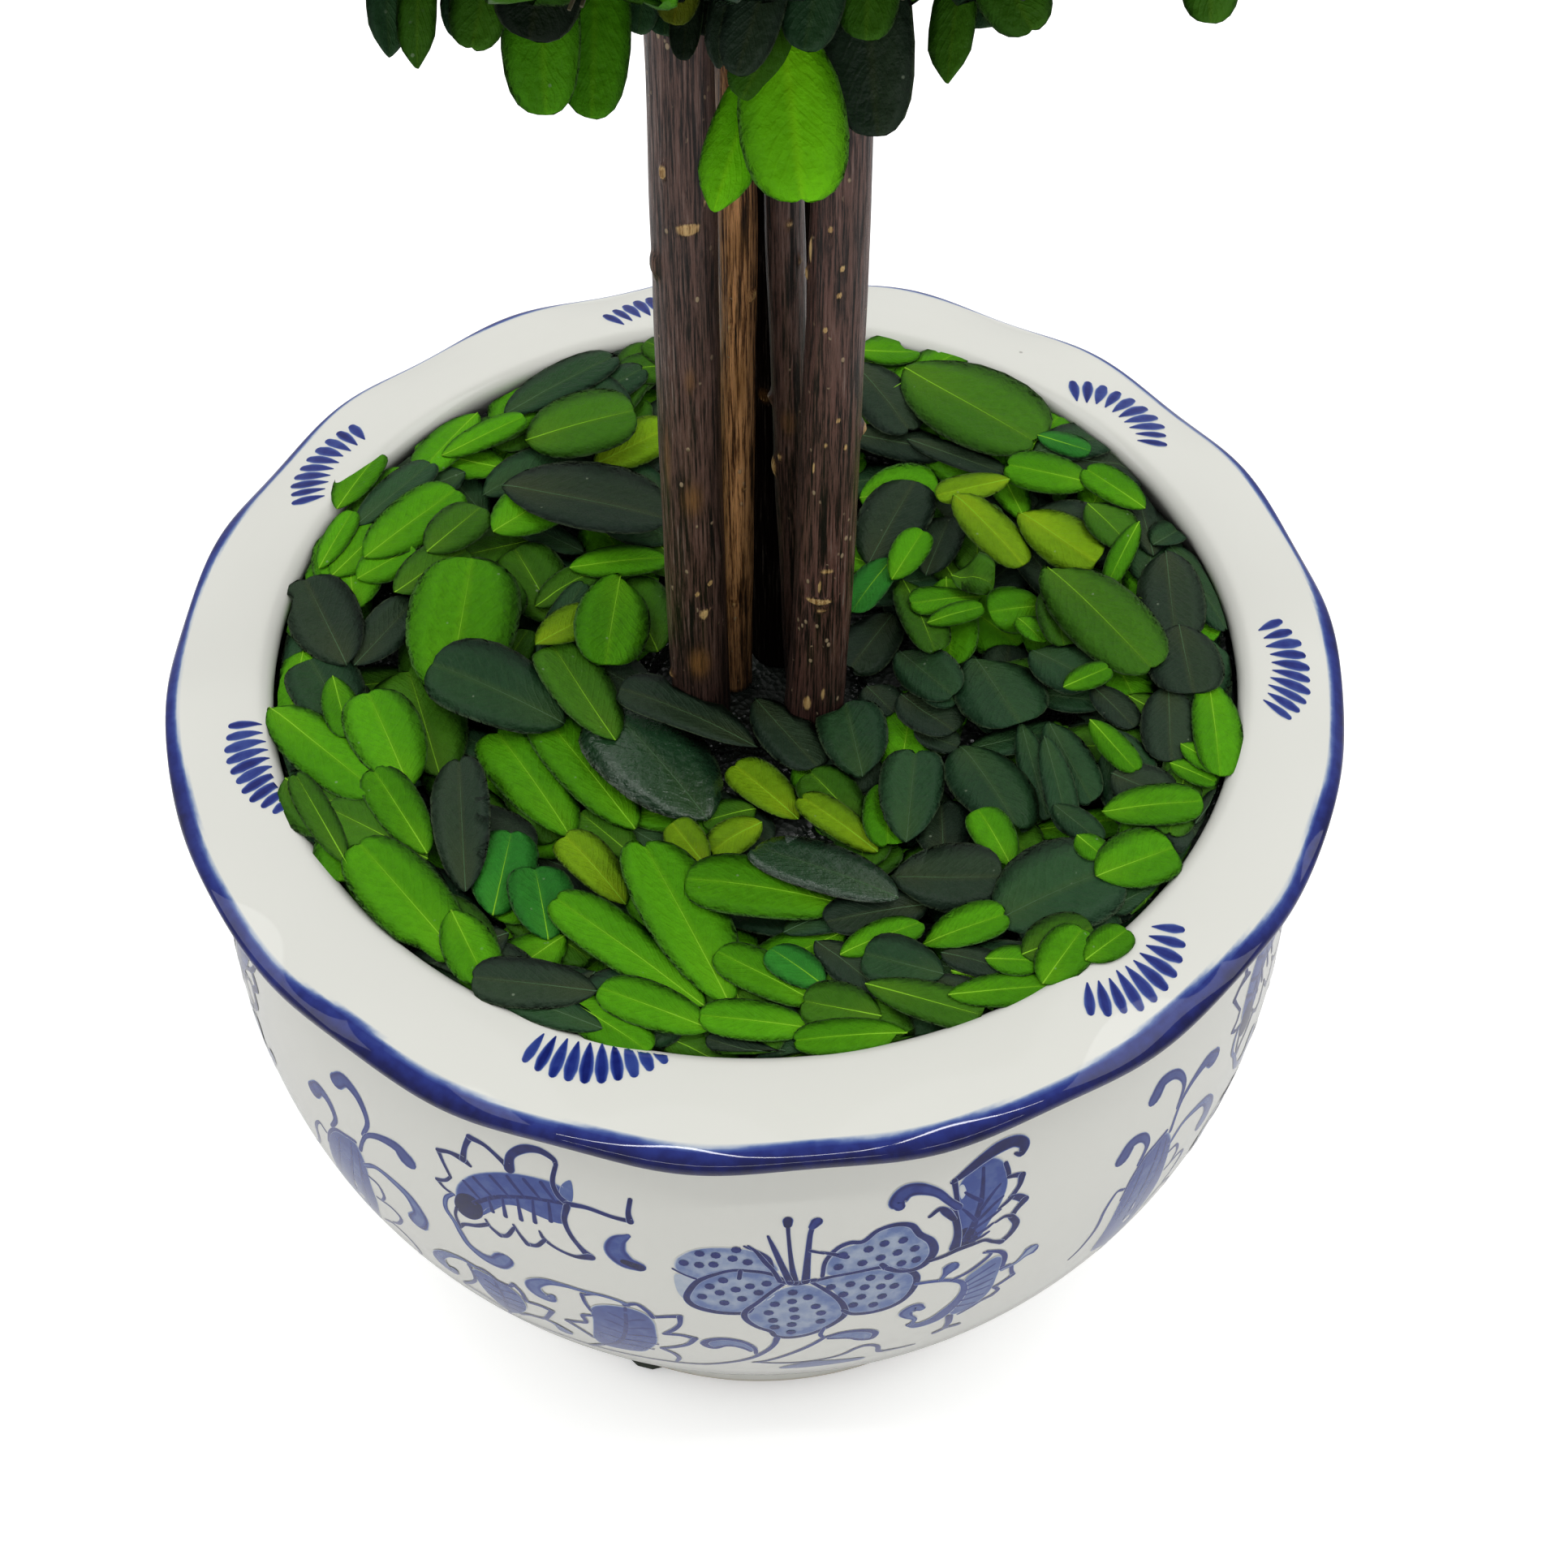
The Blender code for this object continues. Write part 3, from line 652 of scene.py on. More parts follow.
# %% Ornament figures
SPRIG = (
    ("wash", .45, .55, 0,
     ((-74, 90.7), (-72, 86.1), (-72, 78.6), (-72.2, 71.9), (-74, 65.2), (-76.5, 58.6), (-79.9, 54.4),
      (-83.2, 58.6), (-86.5, 61.9), (-85.3, 70.2), (-84, 77.8), (-82.4, 83.6), (-79.9, 87.8),
      (-76.5, 89.8))),
    ("stroke", .7, .7, .45,
     ((-75.3, 88.6, .5), (-76.4, 81.9, .7), (-78.4, 73.6, .6), (-79.9, 66.9, .4)),
     ((-73.6, 87.8, .5), (-74.2, 80.2, .7), (-75.7, 71.9, .6), (-77.4, 63.6, .4)),
     ((-79, 86.1, .5), (-80.7, 78.6, .6), (-82.8, 71.1, .5))),
    ("stroke", .8, .6, 0,
     ((-80.7, 87.8, .9), (-79, 91.9, 1.4), (-80.3, 95.4, 2.3), (-83, 96.3, 3.3), (-84.9, 93.9, 3.8)),
     ((-71.5, 95.1, .9), (-70, 100.2, 1.3), (-72, 104.7, 2.2), (-75.5, 106.1, 3.2), (-77.7, 103.9, 3.6)),
     ((-72.8, 89.4, 1), (-71.7, 93.2, .9), (-70.3, 96.1, 1.1), (-67.4, 98.4, 1.8), (-63.5, 99.4, 3),
      (-61.2, 97.9, 4.4))),
    ("stroke", .8, .4, 0,
     ((-72.2, 85.2, 1.2), (-69.5, 87.6, 1.2), (-66.1, 87.8, 1.8), (-61.9, 86.1, 2.6), (-60, 81.9, 3.6),
      (-61, 78.6, 4.8))),
    ("stroke", .7, .7, 0,
     ((-74, 90.7, 1), (-76.5, 89.8, .9), (-79.5, 88.2, .9), (-82, 84.4, .8), (-83.6, 79.4, .7)),
     ((-72, 81.9, .7), (-69.7, 81.5, .8), (-68.9, 78.6, .8), (-69.9, 75.9, .6)),
     ((-71.4, 75.2, .7), (-67.8, 75.9, .8), (-65.9, 74, .9), (-67.4, 70.2, .8), (-69.5, 67.8, .6)),
     ((-73.2, 63.6, .6), (-69.9, 66.5, .8), (-66.4, 64.4, .9), (-65.9, 59.4, .9), (-68.2, 53.6, .7)),
     ((-83.5, 82.8, .8), (-85.3, 83.6, .8), (-87.4, 79.8, .9), (-88.4, 74.4, .9), (-90.7, 69.4, .8),
      (-92.8, 66.9, .6))),
    ("stroke", .6, .6, 0,
     ((-79.9, 54.4, 1.4), (-79.5, 50.2, 1.1), (-76.5, 47.3, .9), (-70.7, 46.1, .7), (-59, 46.9, .6),
      (-48.3, 49.8, .6))),
)
POD = (
    ("wash", .5, .52, 0,
     ((-51.2, 95.2), (-50.7, 99.4), (-47.5, 104.4), (-42, 108.2), (-36.2, 110), (-31.4, 109.8),
      (-30.4, 106.5), (-30.4, 102.8), (-31.2, 100.2), (-35, 100.2), (-39.1, 100.9), (-42.5, 99.2),
      (-45.2, 96.5), (-47.5, 91.9), (-50, 91.5))),
    ("wash", .4, .4, 0,
     ((-31.6, 109.8), (-29.9, 111.8), (-29.4, 108.6), (-29.9, 105.9), (-31.6, 106.5))),
    ("wash", .95, .95, .4,
     ((-51.5, 94.2), (-50.5, 97.1), (-48, 98.4), (-46, 96.8), (-46, 93.8), (-47.7, 91.4), (-49.7, 90.9),
      (-51.2, 92.1))),
    ("stroke", .85, .85, .5,
     ((-47.5, 96.5, 1), (-43.3, 100.9, 1), (-38.3, 103.8, .9), (-33.7, 105.2, .9), (-30, 105.9, 1.2))),
    ("stroke", .8, .8, .5,
     ((-49.2, 101.2, .9), (-47.7, 99.8, .8), (-46.2, 98.4, .5)),
     ((-47.3, 103.4, .9), (-45.5, 101.9, .8), (-43.7, 100.4, .5)),
     ((-44.1, 105.8, .9), (-42.3, 104.1, .8), (-40.5, 102.3, .5)),
     ((-41, 107.5, .9), (-39.5, 105.6, .8), (-37.9, 103.8, .5)),
     ((-38, 108.3, .9), (-36.5, 106.6, .8), (-35, 104.8, .5)),
     ((-35, 109, .9), (-33.7, 107.2, .8), (-32.5, 105.5, .5))),
    ("stroke", .8, .8, .45,
     ((-44.7, 99.8, .5), (-44.3, 98.2, .7), (-44, 96.5, .9)),
     ((-42, 101.5, .5), (-41.8, 99.1, .7), (-41.6, 96.7, .9)),
     ((-39.3, 103.1, .5), (-39, 100.3, .7), (-38.7, 97.5, .9)),
     ((-36.5, 104.1, .5), (-36.4, 101.1, .7), (-36.2, 98.2, .9)),
     ((-33.7, 105, .5), (-33.5, 102.5, .7), (-33.4, 100, .9))),
    ("stroke", .85, .85, 0,
     ((-51.5, 95.9, .7), (-53.3, 96.4, .8), (-54.7, 97.7, 1)),
     ((-54.7, 97.7, 1), (-53, 98.8, .8), (-51.9, 100.5, .7)),
     ((-51.9, 100.5, .7), (-53.3, 103.4, .8), (-54.3, 105.8, 1.1)),
     ((-54.3, 105.8, 1.1), (-52, 106.8, 1), (-49.4, 106.8, 1.6), (-48, 106.1, .8)),
     ((-49.4, 106.8, 1.4), (-49, 110.2, 1.1), (-48.2, 112.9, 1.4)),
     ((-48.2, 112.9, 1.4), (-45.2, 112.6, 1), (-42, 110.7, 1.2), (-40.7, 109.8, 2.2)),
     ((-40.7, 109.6, 2.2), (-40.5, 112.8, 1.8), (-38.3, 115.4, 2), (-35.5, 116.3, 1.6),
      (-33, 115.4, 1.2), (-32.5, 114, .8)),
     ((-32.5, 114.4, .9), (-33, 110.2, 1), (-32, 107.3, 1.2), (-30.4, 105.9, 1.4)),
     ((-30.4, 105.9, 1.4), (-27, 106.2, 1.1), (-22.9, 105.4, 1), (-19.9, 105.2, 1.2)),
     ((-19.9, 105.1, 1.4), (-20.2, 107.3, 1), (-19.9, 110.4, .9)),
     ((-30.5, 105.2, 1.4), (-31, 101.5, 1.1), (-30, 97.8, 1), (-28.3, 94.8, 1.2), (-27, 93.2, 2)),
     ((-26.9, 92.9, 2), (-29.5, 91.9, 1), (-32.5, 92.6, .8), (-34.7, 94.2, .9), (-35.5, 96.1, .5)),
     ((-34.7, 94, .9), (-36.2, 91.5, 1), (-37.9, 90.9, 1.2)),
     ((-37.9, 90.9, 1.2), (-39.1, 92.8, .8), (-40.2, 95.1, .6)),
     ((-40.2, 94.2, .8), (-41.6, 91.1, 1), (-43, 90.2, 1.2)),
     ((-43, 90.2, 1.2), (-44.7, 91.5, .8), (-45.5, 93.1, .6)),
     ((-45.2, 91.9, 1), (-47.5, 89.8, 1), (-50, 88.2, .9), (-51, 86.5, .8)),
     ((-51.2, 92.3, .7), (-51.6, 89.8, .7), (-51, 86.9, .8))),
    ("stroke", .8, .4, 0,
     ((-51.7, 95.9, .8), (-53.2, 93.6, 1), (-53.5, 90.2, 1), (-52, 87.3, 1.1), (-51, 84.4, 1.4),
      (-49.7, 81.5, 1.6), (-47, 79.8, 2.8), (-44.4, 80.2, 4), (-43, 82.3, 4.2))),
    ("stroke", .75, .5, 0,
     ((-20.4, 101.2, 1.2), (-22, 99.4, 3.2), (-22.5, 96.5, 4.2), (-21, 94, 4), (-18.9, 93.2, 3))),
    ("stroke", .95, .95, .6,
     ((-21, 93.8, 1.6), (-18.7, 93, 2.2))),
)
BLOSSOM = (
    ("wash", .2, .28, 0,
     ((-12.9, 94.2), (-12.5, 97.3), (-9.5, 100.2), (-5.4, 101.2), (-1.2, 100.9), (1.5, 99.4),
      (3.3, 97.3), (4, 94.6), (.5, 94.8), (-3.7, 94.8), (-7.5, 93.2), (-9.5, 91.8), (-11.4, 92.6))),
    ("wash", .14, .14, 0,
     ((-12.7, 92.8), (-9.5, 91.5), (-10.8, 88.6), (-11, 84.8), (-12.2, 86.1), (-12.9, 89.4))),
    ("wash", .21, .29, 0,
     ((3.6, 94.1), (-.4, 94.6), (-3.5, 94.8), (-6.6, 93.2), (-9, 90.9), (-10.6, 87.8), (-10.9, 84.8),
      (-9.5, 82.8), (-5.8, 81.5), (-1.6, 81.8), (-.4, 83.2), (2.5, 86.1), (4.3, 89.2), (5, 91.9)),
     ((6.6, 90.4), (3.7, 89), (1, 85.2), (-1.2, 81.9), (-1.4, 79.6), (.1, 76.8), (2.8, 74.2),
      (3.7, 72.1), (6, 71.4), (9.1, 72.4), (12.5, 75), (14.6, 78.2), (14.6, 81.5), (13.1, 85.2),
      (10.8, 88.6), (8.7, 90.2)),
     ((9.5, 90.9), (12.5, 91.6), (17, 92.1), (20, 92.1), (22.6, 90.7), (25.6, 88.8), (26.6, 85.9),
      (25.6, 81.8), (23.3, 78.9), (20, 78), (16.6, 78.6), (14.8, 80.2), (13.7, 84.4), (12, 88.6)),
     ((11.5, 92.6), (11.6, 96.1), (13.7, 99.4), (17, 100.5), (19.5, 102.3), (22.9, 103.2), (25.4, 102.1),
      (27, 99.2), (29, 96.1), (29.1, 92.9), (27, 90.1), (24.1, 90.1), (21.8, 91.9), (17.9, 92.2),
      (14.3, 91.9))),
    ("stroke", .85, .85, 0,
     ((-13.1, 94.1, .5), (-11.4, 92.8, .5), (-9.4, 91.8, .7)),
     ((-1.5, 101.6, .5), (.6, 100.2, .8), (2.3, 98.4, .9), (3, 95.9, .7)),
     ((4.8, 92.1, .8), (2.5, 94, 1), (-.4, 94.8, .9), (-3.5, 94.9, .9), (-6.6, 93.3, 1),
      (-9.1, 91.1, 1.2), (-10.6, 87.8, 1.3), (-11, 85.1, 1.3), (-9.5, 82.7, 1.4), (-5.8, 81.3, 1.3),
      (-1.6, 81.4, 1.2), (-.4, 82.9, .9)),
     ((-2.2, 94.8, .9), (-2.4, 92.6, .9)),
     ((5.1, 91.2, .9), (2.9, 88.6, .9), (.6, 85.2, 1), (-1.5, 81.9, 1.2), (-1.4, 79, 1.2), (.4, 76.1, 1),
      (2.6, 74.2, 1.1), (3.5, 72.1, 1.1), (6, 71.2, 1.2), (9.3, 72.2, 1.1), (12.6, 75, 1.2),
      (14.8, 78.4, 1.3), (14.6, 81.9, 1.3), (13.3, 85.2, 1.1), (11, 88.6, .9), (9, 91.1, .8)),
     ((9.3, 90.9, .8), (12.5, 91.8, .9), (16.6, 92.2, .9), (20.4, 92.4, 1.1), (22.3, 91.2, 1.1),
      (25.8, 89, 1.3), (26.8, 85.7, 1.4), (25.4, 81.1, 1.2), (22.9, 78.6, 1.2), (19.5, 77.8, 1.2),
      (16.2, 78.4, 1.1), (14.6, 80.1, 1)),
     ((20.8, 93.1, 1.2), (21.8, 91.5, 1.4), (23.7, 90.4, .8)),
     ((11, 92.3, .8), (11.5, 96.5, .9), (13.3, 99.6, 1), (15.4, 100.8, 1.1), (17.6, 100.6, 1.1),
      (20, 102.8, 1), (22.9, 103.4, 1.1), (25.6, 102.3, 1.3), (27, 99.4, 1.4), (29, 96.5, 1.7),
      (29.4, 92.9, 1.8), (27.3, 89.8, 1.4), (24.1, 89.8, 1), (21.8, 91.6, 1.4)),
     ((10.8, 99.2, .6), (12.9, 98.2, 1), (14.8, 97.1, 1.4)),
     ((4, 91.6, .9), (6.8, 90.7, 1.4), (9.8, 91.4, 1)),
     ((6.6, 90.9, 1.4), (6, 96.9, .9), (5.6, 103.6, .7), (5.5, 106.5, .8)),
     ((8.3, 91.1, 1.6), (8.6, 97.8, 1.2), (9, 103.6, 1), (9.4, 105.9, 1)),
     ((5.8, 91.1, 1.4), (4.5, 96.1, 1.2), (3.3, 100.7, 1), (2.3, 104.2, .5)),
     ((4.1, 91.8, 1), (3.1, 94.8, .9), (1.8, 97.3, 1), (.4, 100.2, .8), (-.9, 101.8, .4)),
     ((9.1, 99.8, .8), (11.2, 98.8, .6))),
    ("stroke", .95, .95, 0,
     ((5.5, 106.9, 1.6), (5.5, 107.9, 1.9))),
    ("stroke", .9, .7, 0,
     ((9.5, 106.1, 1.6), (10.1, 107.1, 2.2))),
)
BLOSSOM_STEM = (
    ("wash", .3, .34, 0,
     ((11.8, 69.7), (14.5, 70.8), (17.9, 70.4), (20, 69.1), (20.5, 67.3), (19.5, 65.9), (17.6, 66.7),
      (15.8, 68.2), (13.3, 69))),
    ("wash", .35, .4, 0,
     ((-8.5, 67.8), (-7.5, 69.6), (-4.5, 70.4), (-1.6, 69.6), (-.1, 67.1), (-.4, 64.4), (-2, 66.9),
      (-4.5, 67.5), (-6.9, 66), (-8.2, 66.4))),
    ("wash", .42, .45, 0,
     ((4, 51.5), (6.6, 54.4), (10.8, 55.7), (15.8, 54.4), (20, 52.9), (18.7, 51.2), (12.5, 50.9),
      (7.5, 50.7))),
    ("stroke", .72, .72, 0,
     ((3.7, 71.2, 1.3), (3.1, 67.8, 1.1), (1.5, 64, 1.1), (-.9, 60.2, 1), (-5, 56.5, .9),
      (-10.9, 53.2, .9), (-20.9, 51.9, .7), (-31.7, 51.2, .6), (-40, 51.2, .6), (-48.3, 49.8, .6)),
     ((11.5, 74, .8), (11, 71.5, .9), (11.6, 69.6, .8)),
     ((11.6, 69.6, .9), (9.1, 66.1, 1), (5.4, 61.8, .9), (2, 58.4, .8), (-.5, 57.2, .6)),
     ((11.6, 69.8, .8), (14.8, 71.1, 1), (18.3, 70.6, 1.2), (20.5, 68.6, 1.4), (20, 65.9, 1.2),
      (17.9, 66.4, 1), (15.8, 68.1, .7), (12.5, 69.1, .8)),
     ((.1, 63.2, .8), (-.2, 66.5, .9), (-2, 69.4, 1), (-5, 70.6, 1.2), (-7.7, 69.6, 1.4),
      (-8.7, 67.6, 1.6), (-7.2, 65.8, 1.3), (-5, 67.3, .9), (-2.5, 66.9, .8), (-.8, 64.6, .7)),
     ((0, 57.3, .6), (5, 56.1, .8), (10.4, 56.2, .8), (15, 58.2, .8), (17.5, 61.2, 1), (19.5, 62.1, 1.2),
      (21.5, 60.2, 1), (22.3, 55.9, 1.2), (25, 54.8, 1), (29.1, 54.2, .6))),
)
FEATHER = (
    ("wash", .47, .5, 0,
     ((33.5, 93.2), (33.1, 100.2), (33.3, 107.3), (34.5, 110.4), (36.6, 112.1), (39.1, 113.2),
      (41.5, 111.5), (42.3, 108.2), (42.3, 104.4), (41, 100.2), (39.1, 96.5), (37.5, 93.2), (35.4, 92.1))),
    ("wash", .06, .1, .4,
     ((33.7, 108.4), (34.5, 108.9), (35, 106.8), (34.1, 105.4))),
    ("wash", .92, .92, .4,
     ((32.5, 91.8), (33, 96.1), (34.8, 97.6), (36.6, 96.1), (37.1, 93.2), (35.4, 91.6))),
    ("stroke", .85, .85, .45,
     ((35.4, 94.4, 2.2), (36.6, 98.6, 1.5), (37.5, 102.8, 1.2), (37.9, 106.9, .9), (38.1, 111.1, .7))),
    ("stroke", .8, .8, .45,
     ((37.5, 103.4, .9), (35.8, 105.4, .8), (34.8, 106.8, .5)),
     ((36.6, 98.6, .9), (35.1, 101.5, .7), (34.3, 102.8, .4)),
     ((37.6, 101.1, .9), (39.5, 104, .8), (41, 105.7, .5)),
     ((37.3, 98.6, .9), (39.8, 101.1, .8), (41.5, 102.3, .5)),
     ((36.6, 96.5, .9), (39.1, 97.8, .8), (41, 99, .6)),
     ((36.2, 94.2, .8), (38.5, 95.1, .8), (39.8, 95.9, .5)),
     ((35.8, 93.2, .8), (37.6, 93.2, .8), (39.1, 93.9, .5))),
    ("stroke", .88, .88, 0,
     ((32.7, 110.2, 1), (35, 111.5, 1.8), (37.9, 113.2, 2.4), (41, 114.4, 3), (44, 114.4, 2.8),
      (45.6, 112.8, 2.4), (45, 110.9, 1.4), (44, 111.5, .8)),
     ((33, 110.4, 1.2), (33.3, 106.5, 1), (33.5, 103.4, .9)),
     ((32.6, 103.4, 1.6), (33.3, 99.4, 1.4), (33.5, 96.1, 1.6), (33.1, 92.8, 2.2)),
     ((42.1, 110.2, 1), (42.5, 108.2, 1), (42.6, 106.8, .9)),
     ((42.6, 106.6, .9), (43.9, 106.3, 1.2), (45, 105.7, 1.4)),
     ((45, 105.6, 1.6), (44.5, 103.4, 1.1), (43.1, 101.3, 1.2)),
     ((43, 101.2, 1.2), (44.3, 100.4, 1.7), (45.5, 99, 1.8)),
     ((45.5, 98.8, 1.8), (44.1, 97.3, 1.3), (43.2, 95.9, 1.4)),
     ((43.1, 95.8, 1.4), (44.1, 93.2, 1.6), (43.3, 90.9, 1.4), (41.6, 89.2, 1.4)),
     ((41.6, 89.2, 1.3), (40, 90.4, .9), (38.5, 91.8, .9), (36.6, 91.9, 1.1)),
     ((28.7, 103.4, .8), (30.4, 104.6, 1.2), (31.6, 103.2, 1.8), (32.8, 100.9, 1.2)),
     ((36.6, 91.9, 1.1), (33.7, 91.8, 1.3), (31.2, 91.1, 1.1), (29, 90.9, 1)),
     ((40.8, 99.4, .6), (42, 100.2, .9), (43.1, 101.1, 1)),
     ((40.3, 95.9, .6), (41.9, 96.5, .8), (43.2, 95.9, 1))),
    ("stroke", .88, .66, 0,
     ((33.5, 103.8, 1.8), (32, 105.9, 1.6), (30, 108.8, 2), (27, 110.8, 3), (24.7, 110.8, 3.6),
      (23.3, 108.9, 3.4), (23.6, 107.8, 2.2))),
)
SCROLL = (
    ("wash", .33, .4, 0,
     ((35.4, 81.1), (37.9, 83.6), (40.8, 85.2), (42.3, 83.6), (42, 80.2), (41.6, 76.9), (41.2, 73.6),
      (40, 70.2), (37.5, 67.8), (35, 66.9), (33.7, 68.6), (35, 71.9), (35.8, 76.1))),
    ("stroke", .62, .55, 0,
     ((26.8, 84.6, 1), (29.5, 83.9, .9), (32.6, 82.6, 1.1), (35, 80.2, 1.2), (35.6, 76.9, 1.6),
      (34.8, 73.6, 2.2), (33.3, 70.7, 3), (31.2, 67.9, 3.4), (28.3, 67.2, 2.6), (26.5, 68.6, 1.4))),
    ("stroke", .7, .7, .35,
     ((35.8, 79.8, .6), (38.7, 81.5, .7), (40.8, 82.6, .5)),
     ((36, 78.2, .6), (39, 79.2, .7), (41, 79.8, .5)),
     ((36, 76.5, .6), (38.7, 76.9, .7), (40.8, 77.3, .5)),
     ((35.8, 74.8, .6), (38.3, 74.8, .7), (40.4, 74.9, .5)),
     ((35.3, 72.9, .6), (37.6, 72.4, .7), (39.6, 72.2, .5)),
     ((34.5, 71.1, .6), (36.6, 70.1, .7), (38.3, 69.6, .5))),
    ("stroke", .72, .72, 0,
     ((32.9, 82.3, .8), (35.8, 83.2, .9), (39.1, 85.7, .9), (39.8, 87.1, .8), (38.5, 87.9, .6)),
     ((39.1, 87.9, .7), (41.6, 86.1, 1), (42.6, 83.6, 1.2), (42.3, 79.8, 1)),
     ((42.3, 79.8, 1), (44, 79.6, .9), (44.5, 76.9, .9), (45, 75.1, 1.1)),
     ((45, 75.1, 1.1), (42.9, 73.8, .9), (41.5, 73.2, .8)),
     ((41.6, 73.2, .8), (42.6, 71.1, .9), (41.6, 69.6, 1)),
     ((41.6, 69.6, 1), (39.5, 69, .8), (37.9, 67.8, .9), (35.8, 66.5, .9)),
     ((34, 66.9, 1.6), (34.3, 63.2, 1.4), (34, 60.7, 1)),
     ((32.3, 59.2, 1.4), (34.3, 60.2, 1.2), (36.6, 59.6, 1.4))),
    ("stroke", .8, .25, 0,
     ((42.5, 79.2, .9), (45, 79.6, .9), (46.5, 80.9, 1.8), (47.5, 81.6, 3.6))),
    ("stroke", .75, .45, 0,
     ((31, 83.6, .8), (31.8, 85.1, 1.4), (32.6, 86.6, 3.4))),
    ("stroke", .75, .4, 0,
     ((26.8, 68.6, 1.2), (27.3, 70.7, 1), (26, 72.8, 1.8), (25.6, 74.6, 3), (27, 75.8, 3.2),
      (28.1, 74.8, 1.8))),
)
